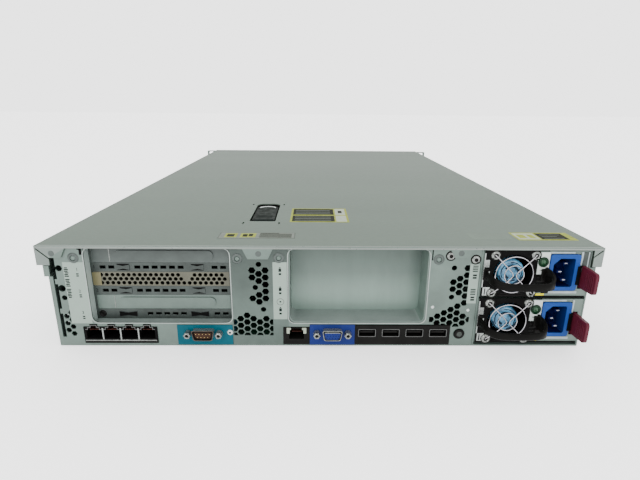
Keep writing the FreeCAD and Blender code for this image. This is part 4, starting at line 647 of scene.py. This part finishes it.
def mains_inlet(unit):
    """The mains inlet: a blue housing with its mouth and pins painted navy as shade, its right inner wall
    painted a darker blue as shade, bright pin tips and the pale edges around it.
    """
    low, high = unit.inlet_low, unit.inlet_high
    left, right, foot, top = low[0] + 2.4, low[0] + 20.2, low[2] + 2.8, high[2] - 2.8
    rim = low[1] + 0.4
    back = low[1] + 15.5

    def in_mouth(p):
        return left < p.x < right and foot < p.z < top and p.y > rim

    def on_pin(p):
        return left + 3 < p.x < right - 1 and foot + 2 < p.z < top - 2 and low[1] + 2.5 < p.y < back

    # the mouth and the pins painted navy and the mouth's right wall painted darker, as shade in the recess
    paint(f"{unit.name}_inlet", INLET,
          (BLUE_SHADE, lambda p, n: in_mouth(p)),
          (INLET_WALL_SHADED, lambda p, n: n.x < -0.5 and p.x > right - 3 and p.y > rim),
          (BLUE_SHADE, lambda p, n: on_pin(p)))
    tips = [((x - 1.3, x + 1.3), (1.3, 1.7), (z - 0.5, z + 0.5))
            for x, z in ((67.6, 28.4), (63.6, 21.4), (67.6, 14.4))]
    on_unit(unit, "pin_tips", tips, PIN, 0.2)
    start, end = unit.inlet_left, unit.inlet_right
    on_unit(unit, "inlet_strips", [((start - 0.4, end - 5), LIP, (unit.inlet_top + 0.7, 38.8)),
                                   ((start - 1, end + 1.5), LIP, (3.2, unit.inlet_foot - 0.8)),
                                   ((end + 0.4, end + 1.8), LIP, (unit.inlet_foot + 21.4, 38.8))], STRIP, 0.2)
    on_unit(unit, "tab_shade", [((end - 1.6, end + 1.4), (unit.inlet_front - 0.3, 0),
                                 (unit.inlet_foot + 5, unit.inlet_foot + 21))], BLACK_SATIN, 0.2)


def edge_trim(unit):
    """The plate at the right of the upper supply, shaded gaps, the strap's root and a yellow tag."""
    if unit.name == "psu_upper":
        on_unit(unit, "side_plate", [((79.6, 85.6), (-0.4, 0), (22, 38.6))], ZINC_DARK, 0.1)
        on_unit(unit, "side_edge", [((83.2, 84), (-0.6, 0), (20, 38.8)),
                                    ((unit.inlet_right + 1.8, 79.4), LIP, (31, 38.8))], STRIP, 0.15)
    skin = (-0.3, 0)
    end = unit.right - unit.left - 0.6
    on_unit(unit, "gap_shade", [((43.4, end), skin, (0.05, 1.1)), ((43.4, 52), skin, (39, 40.2))],
            BLACK_SATIN, 0.1)
    on_unit(unit, "strap_root", [((unit.inlet_left - 4, unit.inlet_left + 1.8),
                                  (unit.inlet_front - 0.4, 0), (3.6, 12.5))], BLACK, 0.6)
    on_unit(unit, "yellow_tag", [((44, 52.6), skin, (1.3, 3.2))], YELLOW_TAG, 0.1)


def tab_ribs(unit):
    """The ribs on the side of the release tab."""
    low, high = edges_of(f"{unit.name}_latch")
    ribs = [((low[0] - 0.35, low[0] + 0.2), (low[1] + 2 + 2.2 * k, low[1] + 3 + 2.2 * k),
             (low[2] + 3.4, high[2] - 3)) for k in range(5)]
    blocks(f"{unit.name}_tab_ribs", ribs, MAROON, f"{unit.name}_tab", 0.15)


def power_supply(name):
    """Everything that shows on one power supply's rear face."""
    unit = read_unit(name)
    well = (unit.left + 1, unit.right - 1, unit.foot + 1, unit.foot + 38)
    paint(f"{name}_case", ZINC, (BLACK_SATIN, lambda p, n: unit.face + 0.2 < p.y < unit.face + 40 and
                                 well[0] < p.x < well[1] and well[2] < p.z < well[3]))
    paint(f"{name}_fan_frame", BLACK_SATIN)
    paint(f"{name}_latch", MAROON)
    paint(f"{name}_rotor", BLADE,
          (HUB, lambda p, n: math.hypot(p.x - unit.fan_x, p.z - unit.fan_z) < HUB_RADIUS + 0.05))
    fan_surround(unit)
    side_clips(unit)
    wire_guard(unit)
    guard_screws(unit)
    fan_hub(unit)
    strap_handle(unit)
    status_lamp(unit)
    mains_inlet(unit)
    edge_trim(unit)
    tab_ribs(unit)


for name in ("psu_lower", "psu_upper"):
    power_supply(name)


# ---- connectors

JACKS = 4
JACK_PITCH = 14.5
CONTACTS = 8
CONTACT_PITCH = 1.02
# the right half of the collar round a jack's mouth: distances from its middle line and heights
JACK_OUTER = [(2.7, 19), (2.7, 17.2), (5, 17.2), (5, 15.4), (6.6, 15.4)]
JACK_INNER = [(6.6, 15), (4.6, 15), (4.6, 16.8), (2.3, 16.8), (2.3, 18.6)]
D_LEVEL = 12.2
NUT_REACH = 12.8
USB_SOCKETS = 4
USB_PITCH = 19.7
shell = edges_of("serial_port")[0][1]


def jack_contacts(name, starts, width, depth, level):
    """Rows of eight thin contacts under the roofs of modular jacks, given by the left edge of each row."""
    spots = [((start + CONTACT_PITCH * k, start + width + CONTACT_PITCH * k), level)
             for start in starts for k in range(CONTACTS)]
    plates(name, spots, depth, DARK_COPPER)


# the collars, contacts, spring bar and dividers of the network jacks
low, high = edges_of("network_ports")
middle = centre("network_ports")[0]
jacks = [middle + JACK_PITCH * (k - (JACKS - 1) / 2) for k in range(JACKS)]
collar = [(-a, b) for a, b in reversed(JACK_OUTER)] + JACK_OUTER + JACK_INNER
collar += [(-a, b) for a, b in reversed(JACK_INNER)]
bm = bmesh.new()
for jack in jacks:
    add_prism(bm, "y", mouth - 0.3, 0.35, [[(jack + a, b) for a, b in collar]])
finish_mesh("network_collars", bm, SLEEVE_GREY)
starts = [jack - 3.8 for jack in jacks]
jack_contacts("network_contacts", starts, 0.45, (mouth + 1.5, mouth + 9), (14.2, 14.6))
plates("network_springs", [((jacks[0] - 7.4, jacks[-1] + 7.4), (4.9, 5.9))], (mouth - 0.7, mouth - 0.2),
       SCREW, REAR, 0.2)
walls = [(before + after) / 2 for before, after in zip(jacks, jacks[1:])]
plates("network_dividers", [((wall - 0.55, wall + 0.55), (6, 16.4)) for wall in walls],
       (mouth - 0.3, mouth - 0.1), PLATED, REAR, 0.1)
plates("network_frame", [((low[0] + 0.3, high[0] - 0.3), (low[2], low[2] + 2.2))], (mouth - 0.2, mouth + 0.1),
       BLACK, REAR, 0.1)


def d_loop(x, z, width, height, lean=1.6, radius=1.6):
    """The leaning outline of a D connector."""
    half, up = width / 2, height / 2
    corners = [(x - half, z + up), (x - half + lean, z - up), (x + half - lean, z - up), (x + half, z + up)]
    points = []
    for k, corner in enumerate(corners):
        here = Vector(corner)
        start = here + (Vector(corners[k - 1]) - here).normalized() * radius
        end = here + (Vector(corners[(k + 1) % 4]) - here).normalized() * radius
        for t in (0, 0.25, 0.5, 0.75, 1):
            points.append(tuple((1 - t) ** 2 * start + 2 * t * (1 - t) * here + t * t * end))
    return points


def d_connector(name, x, width, rim_material):
    """The rim, the shaded gap inside it and the two nuts of a D connector."""
    gap = d_loop(x, D_LEVEL, width - 1.1, 8)
    edge = d_loop(x, D_LEVEL, width + 0.1, 9)
    prism(f"{name}_rim", shell - 0.15, 0.5, [edge, gap], rim_material, REAR, 0.1)
    prism(f"{name}_shade", shell - 0.04, 0.3, [gap, d_loop(x, D_LEVEL, width - 3, 6)], BLACK_SATIN)
    nuts = [(x - NUT_REACH, D_LEVEL, shell), (x + NUT_REACH, D_LEVEL, shell)]
    nut = [(1, 0.2), (1.1, -0.5), (1.6, -0.9), (2.3, -0.5), (2.7, 0.2), (2.8, 1.2)]
    turned(f"{name}_nuts", nuts, nut, SCREW, REAR, 24)
    turned(f"{name}_nut_holes", nuts, [(0, -0.6), (1.35, -0.6), (1.4, 0.1)], BLACK_SATIN)


# the serial port: nine pins in a copper-coloured insulator, and a pale screw at its right
right = edges_of("serial_port")[1][0]
x = right - 23.6
d_connector("serial", x, 18.4, RIM_METAL)
prism("serial_insulator", shell + 0.7, 0.6, [d_loop(x, D_LEVEL, 15.4, 6)], COPPER, REAR, 0.2)
pins = [(x + 2.77 * (k - (count - 1) / 2), D_LEVEL + up, shell + 0.75)
        for count, up in ((5, 1.42), (4, -1.42)) for k in range(count)]
turned("serial_pins", pins, [(0, -0.75), (0.35, -0.65), (0.5, 0)], CONTACT, REAR, 10)
screw = [(right - 2.1, D_LEVEL + 0.4, mouth)]
turned("serial_side_screw", screw, [(0.7, -0.2), (0.9, -0.9), (1.7, -0.9), (2.2, -0.4), (2.3, 0)],
       WHITE)
turned("serial_side_hole", screw, [(0, -0.95), (1, -0.95), (1.05, 0)], BLACK_SATIN)

# the video port: three rows of five holes painted navy as shade, in a blue insulator
x = centre("video_port")[0]
d_connector("video", x, 16.6, SCREW)
prism("video_insulator", shell - 0.05, 0.5, [d_loop(x, D_LEVEL - 0.4, 14, 6)], VIDEO, REAR, 0.1)
holes = [(x + 2.3 * (k - 2) + (0.6 if row == 1 else 0), D_LEVEL + 2.1 * (1 - row), shell - 0.05)
         for row in range(3) for k in range(5)]
turned("video_holes", holes, [(0, -0.04), (0.42, -0.08), (0.5, 0.05)], BLUE_SHADE, REAR, 10)

# the thin sleeve and the tongue of each USB socket
first = edges_of("usb_ports")[0][0] + 2.7
sleeves = bmesh.new()
tongues = bmesh.new()
for k in range(USB_SOCKETS):
    x = first + USB_PITCH * k
    outer = rounded((x, x + 14.6), (8.7, 15.7), 0.8)
    inner = rounded((x + 0.5, x + 14.1), (9.15, 15.25), 0.5)
    add_prism(sleeves, "y", mouth - 0.35, 3, [outer, inner])
    add_box(tongues, (x + 1.6, x + 13), (mouth + 0.8, mouth + 11), (12, 13.8))
finish_mesh("usb_sleeves", sleeves, SLEEVE_GREY, REAR, 0.1)
finish_mesh("usb_tongues", tongues, BLACK, REAR, 0.15)

# the collar, the four lamps and the contacts of the management port
x = centre("management_port")[0]
left, right = x - 6.2, x + 6.2
bore = [(left, 6.7), (right, 6.7), (right, 14.7), (x + 4.4, 14.7), (x + 4.4, 16.4), (x - 4.4, 16.4),
        (x - 4.4, 14.7), (left, 14.7)]
prism("management_collar", mouth - 0.25, 0.3, [rounded((left - 1.6, right + 1.6), (4.6, 16.7), 0.6), bore],
      BLACK, REAR, 0.1)
lights = [((left - 1.9, left + 0.5), (11.6, 16.9)), ((right - 0.5, right + 1.9), (11.6, 16.9)),
          ((left + 0.5, left + 1.6), (14.9, 16.9)), ((right - 1.6, right - 0.5), (14.9, 16.9))]
plates("management_lights", lights, (mouth - 0.35, mouth - 0.1), PALE, REAR, 0.2)
jack_contacts("management_contacts", [x - 3.6], 0.5, (mouth + 1, mouth + 9), (12.9, 13.3))


# ---- card bays and card cage

BAY_TOP = 85
FOLD = 4.6
# one lip of a bow: distances from the bow's middle across and away from it
BOW_LIP = ((-5.4, 2.75), (5.4, 2.75), (2.5, 0.99), (0, 0.33), (-2.5, 0.99))

# edges round the two card bays painted bright as highlights, and the folded corner at the foot of the second
cage_low, cage_high = edges_of("riser_cage")
pan_low, pan_high = edges_of("riser_blank")
sill = pan_low[2] - 0.2
bays = {"one": (cage_low[0] + 1, cage_high[0] - 1), "two": (pan_low[0] - 0.2, pan_high[0] + 0.2)}
for name, (left, right) in bays.items():
    outer = rounded((left - 0.7, right + 0.7), (sill - 0.7, BAY_TOP + 0.2), 5.6)
    prism(f"bay_{name}_edge", panel - 0.2, 0.2, [outer, rounded((left, right), (sill, BAY_TOP), 5)],
          BAY_EDGE_HIGHLIGHT)
left = bays["two"][0]
turns = [math.radians(t) for t in range(0, 91, 15)]
corner = [(left - 0.2, sill - 0.2), (left + FOLD, sill - 0.2)]
corner += [(left + FOLD * (1 - math.sin(t)), sill + FOLD * (1 - math.cos(t))) for t in turns]
prism("bay_two_corner", panel - 0.1, 0.8, [corner], ZINC)

# small dark hooks at the tops of the bays, and glints inside the round vents
skin = (panel - 0.3, panel)
hooks = [((-189.2, -187.2), skin, (79.6, 85.4)), ((-190.6, -187.2), skin, (83.8, 85.4)),
         ((-71, -66.2), skin, (84.6, 85.9)), ((87, 87.9), (panel - 0.2, panel), (76, 85.4))]
blocks("bay_hooks", hooks, BLACK_SATIN, REAR, 0.1)
spots = ((-202.8, 28.5), (-206.7, 21.2), (-206.4, 27.2), (-207.5, 16.5), (-202.2, 7.8))
plates("vent_glints", [((x - 0.9, x + 0.9), (z - 0.6, z + 0.6)) for x, z in spots], (panel + 2, panel + 2.6),
       WHITE, REAR, 0.2)

# the card cage: bowed slits between its covers, bright edge lines painted as highlights, numbers, a boss and
# a gold end
left = edges_of("riser_cage")[0][0] + 1
below, gold, above = (edges_of(f"slot_cover_{name}") for name in ("bottom", "perforated", "top"))
lower_strip = (below[1][2] + gold[0][2]) / 2
upper_strip = (gold[1][2] + above[0][2]) / 2
bm = bmesh.new()
for z in (lower_strip, upper_strip):
    for x in (left + 26.4, left + 86):
        for sense in (-1, 1):
            add_prism(bm, "y", cage_plane - 0.12, 0.14, [[(x + a, z + sense * b) for a, b in BOW_LIP]])
finish_mesh("cage_slits", bm, BLACK_SATIN)
plates("cover_edge_highlights", [((left + 16.1, left + 16.6), (low[2] + 0.6, high[2] - 0.6))
                            for low, high in (above, below)],
       (cage_plane - 0.2, cage_plane), SCREW, REAR, 0.08)
for text, z in (("1", upper_strip), ("2", lower_strip)):
    numeral(f"cage_number_{text}", text, left + 2.9, z, cage_plane - 0.05, 3, INK)
turned("cage_boss", [(left + 5, cover_foot - 4.65, cage_plane)],
       [(0, -0.4), (1.4, -0.5), (2.2, -0.9), (2.9, -0.4), (3, 0)], BLACK)
low, high = gold
plates("gold_cover_end", [((low[0] + 0.3, low[0] + 7.2), (low[2] + 0.5, high[2] - 0.5))],
       (cage_plane - 0.18, cage_plane), GOLD_END, REAR, 0.1)


# ---- rear wall: labels, bosses, screws and button

SHEET = (panel - 0.12, panel)
PRINT = (panel - 0.17, panel - 0.1)


def stack(x, starts, step, height, count):
    """Short printed lines one above the other, in a group from each start."""
    return [(x, (start + step * k, start + height + step * k)) for start in starts for k in range(count)]


# the tall label at the left of the rear wall: a scale, three numbers and short lines beside them
plates("label_left", [((-203.6, -186.9), (20.4, 73.4))], SHEET, PAPER)
ticks = [((-202.6 - (0.5 if k % 3 else 0), -200.2 + 0.5 * (k % 2)), (43 + 1.4 * k, 43.9 + 1.4 * k))
         for k in range(19) if k not in (6, 12)]
ticks += stack((-193.9, -191.9), (43.4, 61.4, 24.4), 1.7, 1, 2)
plates("label_left_ticks", ticks, PRINT, INK)
for text, x, z in (("1", -192.8, 67.3), ("2", -193.1, 48.8), ("3", -193.1, 30)):
    numeral(f"slot_number_{text}", text, x, z, panel - 0.15, 2.6, INK)

# the label between the two bays: three small figures, a square and a ring
plates("label_mid", [((-39, -27.8), (24.4, 74))], SHEET, PAPER)
marks = []
for z in (66, 49.5, 31.5):
    marks += [((-34.4, -32.2), (z, z + 2.6)), ((-33.9, -32.7), (z + 2.9, z + 3.7)),
              ((-34.3, -32.3), (z - 2.8, z - 1.2))]
marks += [((-34, -32.6), (39.4, 40.6))]
plates("label_mid_marks", marks, PRINT, INK)
prism("label_mid_ring", PRINT[0], 0.06, [ring_points(-33.3, 40, radius, 24) for radius in (3, 2.6)],
      GREY_INK)

# the label beside the power supplies, with groups of short lines
plates("label_right", [((118.1, 125.8), (39, 73))], SHEET, PAPER)
lines = stack((120.4, 124.6), (66.4, 46.4), 1.5, 0.8, 4) + stack((121, 124.2), (60.6, 41.4), 2.2, 1.4, 2)
plates("label_right_marks", lines, PRINT, INK)

# bosses with their screws, two larger screws with rings, and two rivets painted white as glints
bosses = [(-194.4, 76.9, panel), (-66.7, 76.9, panel), (-34, 77.6, panel), (92.6, 76.8, panel)]
turned("wall_bosses", bosses, [(2, -0.25), (2.3, -0.9), (3.1, -1), (3.9, -0.6), (4.4, 0)],
       ZINC_LOW)
turned("wall_boss_screws", bosses, [(0, -0.5), (0.9, -0.45), (1.5, -0.7), (2.1, -0.2)], ZINC)
screws = [(122, 76.8, panel), (101.9, 79.8, panel)]
turned("wall_screws", screws, [(1.5, -0.3), (1.6, -1.2), (2.7, -1.2), (3.3, -0.6), (3.5, 0)], SCREW)
turned("wall_screw_rings", screws, [(3.4, 0), (3.5, -0.4), (4.1, -0.3), (4.2, 0)], BLACK)
turned("wall_screw_centres", screws, [(0, -0.5), (1.6, -0.5), (1.7, -0.1)], BLACK)
turned("wall_rivet_glints", [(90.9, 35.5, panel), (120.2, 32.8, panel)],
       [(0, -0.7), (0.7, -0.6), (1.1, -0.3), (1.3, 0)], WHITE, REAR, 18)

# the bezel round the locate button, and the ring and face on its cap
x, z = centre("uid_button")
cap = [(x, z, edges_of("uid_button")[0][1])]
turned("uid_bezel", [(x, z, panel)], [(4.25, 0), (4.25, -0.4), (4.5, -0.5), (4.7, 0)], BLACK, REAR, 36)
turned("uid_cap", cap, [(2.3, 0), (2.5, -0.4), (3.6, -0.4), (3.9, 0)], BLACK, "uid_key", 36)
turned("uid_cap_face", cap, [(0, -0.15), (1.2, -0.2), (2.4, -0.1), (2.5, 0)], KEY_FACE, "uid_key", 36)


# ---- cover: labels, bend, dimples, latch

LAYER = 0.04
top = edges_of("top_cover")[1][2]
rear = edges_of("top_cover")[0][1]


def on_lid(name, across, from_rear, layer, material):
    """Flat patches on the cover: ranges across it and from its rear edge, on a layer above its skin."""
    base = top + layer * LAYER
    boxes = [(x, (rear + start, rear + end), (base - 0.05, base + 0.08))
             for x, (start, end) in zip(across, from_rear)]
    blocks(f"lid_label_{name}", boxes, material, "cover")


def steps(start, height, pitch, count):
    """Even ranges of one height, one after the other."""
    return [(start + pitch * k, start + height + pitch * k) for k in range(count)]


# the wide label near the rear edge: two yellow fields and rows of dark lines on silver
on_lid("middle", [(-86, -22)], [(21.6, 39)], 0, GREY_INK)
on_lid("middle_face", [(-85, -23)], [(22.4, 38.2)], 1, LABEL_GREY)
on_lid("middle_yellow", [(-80.8, -70.8), (-68, -55)], [(24.5, 36.5)] * 2, 2, YELLOW)
on_lid("middle_marks", [(-79, -73), (-66, -62), (-61, -57.5)] + [(-52, -25)] * 4 + [(-52, -36)],
       [(26.5, 33.5), (26.5, 33.5), (27.5, 34.5)] + steps(24.6, 1.4, 3, 4) + [(36.2, 37.2)], 3, DARK_INK)

# the yellow label at the right with a dark and a pale field, and a faint trace beside it
on_lid("right", [(163, 213)], [(20, 42.5)], 0, YELLOW)
on_lid("right_dark", [(184, 207)], [(22.5, 40)], 1, DARK_INK)
on_lid("right_pale", [(164.5, 182.5)], [(22.5, 40)], 1, PALE)
on_lid("right_marks", [(166.5, 173), (175.5, 180.5)], [(26, 36)] * 2, 2, YELLOW)
on_lid("right_lines", [(187, 204), (187, 200), (187, 204)], steps(25, 1.2, 5, 3),
       2, GREY_INK)
on_lid("ghost", [(125, 159)], [(21, 41)], -0.5, GHOST)

# the yellow label further in, with two dark and two pale fields
fields = [(77, 99.5), (103, 127.5)]
on_lid("deep", [(-29, 27)], [(74.5, 130)], 0, YELLOW)
on_lid("deep_dark", [(-27, 13.5)] * 2, fields, 1, DARK_INK)
on_lid("deep_pale", [(15, 25)] * 2, fields, 1, PALE)
on_lid("deep_marks", [(-24.5, 10)] * 6, steps(80, 2, 6.4, 3) + steps(106, 2, 6.8, 3), 2, GREY_INK)
on_lid("deep_boxes", [(18, 22)], [(110, 120)], 2, DARK_INK)

# the bend along the rear edge, painted bright as a highlight, and three dimples in the flange
bend = [(1.6, 0.06), (0.7, -0.02), (0.1, -0.35), (-0.2, -0.95), (-0.25, -1.6), (-0.2, -2), (0, -2), (1, -0.6),
        (1.6, -0.05)]
prism("lid_bend_highlight", -221, 442, [[(rear + a, top + b) for a, b in bend]], LID_EDGE_HIGHLIGHT, "cover", 0, 60, "x")
dimples = [(-210, 81, rear), (-49.8, 81.3, rear), (109.6, 82.4, rear)]
turned("lid_dimples", dimples, [(0, -0.02), (1.5, -0.05), (2, -0.2), (2.4, 0)], ZINC_LOW, "cover", 20)

# the curved edge painted pale as a highlight, the grip ribs and the lip on the latch handle
low, high = edges_of("latch_handle")
x = centre("latch_handle")[0]
turns = [math.radians(t) for t in range(10, 171, 16)]
arc = [(x + 8.6 * math.cos(t), high[1] - 9.2 + 7.6 * math.sin(t), high[2] - 0.05) for t in turns]
wires("latch_edge_highlight", [(arc, False)], 0.6, WHITE, "latch")
blocks("latch_grip", [((x - 7.6, x + 7.6), (low[1] + start, low[1] + end), (high[2] - 0.3, high[2] + 0.12))
                      for start, end in steps(12, 1.4, 3.4, 3)], INK, "latch", 0.2)
blocks("latch_lip", [((x - 9.6, x + 9.6), (low[1] + 0.4, low[1] + 5), (high[2] - 0.3, high[2] + 0.1))],
       INK, "latch", 0.2)


# ---- front: drive faces, grille, levers

BLANKS = 6
BAY_PITCH = 17.8
BAR_PITCH = 4.1
EAR_LEG = 218.3
front = edges_of("front_panel")[1][1]
blank_low, blank_high = edges_of("drive_blanks")
grille = blank_high[0] + 14


def drive_face(number):
    """The vent slits and the two lamps on a drive carrier."""
    name = f"drive_{number}"
    high = edges_of(name)[1]
    middle = centre(name)[0]
    plates(f"{name}_vents", [((middle - 6, middle + 6), rise) for rise in steps(69, 0.8, 1.7, 4)],
           (front - 3.45, front - 3.2), BLACK_SATIN, name, 0.1)
    turned(f"{name}_lights", [(high[0] - 1.5, 30, front - 3.3), (high[0] - 1.5, 35, front - 3.3)],
           [(0.8, 0), (0.7, 0.25), (0, 0.35)], LENS, name, 12)


# six ribs across each drive blank
ribs = [((left + 3.2, left + 12.6), rise) for left in [blank_low[0] + BAY_PITCH * k for k in range(BLANKS)]
        for rise in steps(blank_low[2] + 8.6, 1.4, 11.5, 6)]
plates("drive_blank_ribs", ribs, (front - 4, front - 2.6), BLACK, REAR, 0.3)

# two rows of thin upright bars in the front grille, and the face of the media bay
limit = edges_of("front_panel")[1][0] - 20
bars = [x for x in [grille + BAR_PITCH * k for k in range(60)] if x + 1.1 < limit]
plates("front_grille_bars", [((x, x + 0.9), (z, z + 21.2)) for x in bars for z in (10.4, 36.4)],
       (front - 5, front - 4.2), BLACK_SATIN)
blocks("front_media_face", [((grille + 1.5, grille + 128), (front - 4.8, front - 1.2), (65, 77)),
                            ((grille + 4, grille + 118), (front - 1.4, front - 0.9), (70.2, 71.6)),
                            ((grille + 120, grille + 125), (front - 1.4, front - 0.6), (67.6, 69.8))],
       BLACK, REAR, 0.4)

# the bright ring round the power button and the lamp on it
x, z = centre("power_button")
key_face = edges_of("power_button")[1][1]
turned("power_ring", [(x, z, front)], [(3.5, 0), (3.6, -0.3), (4.4, -0.3), (4.6, -0.02)], PLATED, REAR, 32)
turned("power_light", [(x, z, key_face)], [(1.4, 0), (1.2, -0.12), (0, -0.1)], LENS, "power_key", 20)


def ear(hand, side):
    """The ridges on an ear's lever and the three rivets in the ear's leg."""
    low, high = edges_of(f"ear_lever_{hand}")
    plates(f"ear_lever_{hand}_ridges", [((low[0] + 6, high[0] - 5), rise) for rise in steps(30, 1.4, 4, 7)],
           (front - 2.1, front - 0.9), BLACK, f"ear_lever_{hand[0]}", 0.4)
    leg = edges_of(f"rack_ear_{hand}")[0][1]
    start = side * EAR_LEG
    turned(f"ear_leg_{hand}_rivets", [(leg + 12, 16, start), (leg + 12, 48, start), (leg + 32, 32, start)],
           [(0, side * 0.9), (1.4, side * 0.8), (2.4, side * 0.3), (2.6, 0)], SCREW, REAR, 20, "x")


for number in (1, 2):
    drive_face(number)
ear("left", -1)
ear("right", 1)


# ---- floor, light and camera

LAMP_AIM = (0, -0.3, 0.05)
EYE_PLACE = (-0.007333, -0.685465, 0.196598)
EYE_ANGLES = (0.961, 17.162, -0.539)
EYE_LENS = 25.535
EYE_SENSOR = 36

# a large white sheet just under the server, lit a little from inside
mesh = bpy.data.meshes.new("Floor")
bm = bmesh.new()
bmesh.ops.create_grid(bm, x_segments=4, y_segments=4, size=6)
bm.to_mesh(mesh)
bm.free()
ground = new_object("Floor", mesh)
ground.location = (0, 0, -0.0002)
paper = surface("FloorPaper", (0.93, 0.93, 0.93), 0, 0.8, 0.01, 3, 200, 0)
fill(paper.node_tree.nodes["Principled BSDF"], {"Emission Color": (1, 1, 1, 1), "Emission Strength": 0.75})
mesh.materials.append(paper)

# a white sky that is stronger towards the front of the server
world = bpy.data.worlds.new("Studio")
world.use_nodes = True
tree = world.node_tree
sky = tree.nodes["Background"]
fill(sky, {"Color": (1, 1, 1, 1)})
where = tree.nodes.new("ShaderNodeTexCoord")
split = tree.nodes.new("ShaderNodeSeparateXYZ")
tree.links.new(where.outputs["Generated"], split.inputs["Vector"])
rise = tree.nodes.new("ShaderNodeMapRange")
fill(rise, {"From Min": -0.6, "From Max": 0.8, "To Min": 2.3, "To Max": 3})
tree.links.new(split.outputs["Y"], rise.inputs["Value"])
tree.links.new(rise.outputs["Result"], sky.inputs["Strength"])
bpy.context.scene.world = world


def lamp(name, place, size, power):
    """A square soft light that faces the rear of the server."""
    light = bpy.data.lights.new(name, "AREA")
    light.shape = "SQUARE"
    light.size = size
    light.energy = power
    item = new_object(name, light)
    item.location = place
    item.rotation_euler = (Vector(LAMP_AIM) - Vector(place)).to_track_quat("-Z", "Y").to_euler()


lamp("Key", (-0.9, -2, 1.5), 0.8, 16)
lamp("Fill", (0.9, -1.8, 0.5), 0.8, 4)

# the camera, placed by its turn to the right, its tilt down and its roll
yaw, pitch, roll = (math.radians(a) for a in EYE_ANGLES)
forward = Vector((math.sin(yaw) * math.cos(pitch), math.cos(yaw) * math.cos(pitch), -math.sin(pitch)))
right = Vector((math.cos(yaw), -math.sin(yaw), 0))
down = forward.cross(right)
across = right * math.cos(roll) + down * math.sin(roll)
below = down * math.cos(roll) - right * math.sin(roll)
eye = bpy.data.cameras.new("Camera")
eye.sensor_width = EYE_SENSOR
eye.lens = EYE_LENS
eye.clip_start = 0.01
camera = new_object("Camera", eye)
turn = Matrix((across, -below, -forward)).transposed().to_4x4()
camera.matrix_world = Matrix.Translation(EYE_PLACE) @ turn
bpy.context.scene.camera = camera
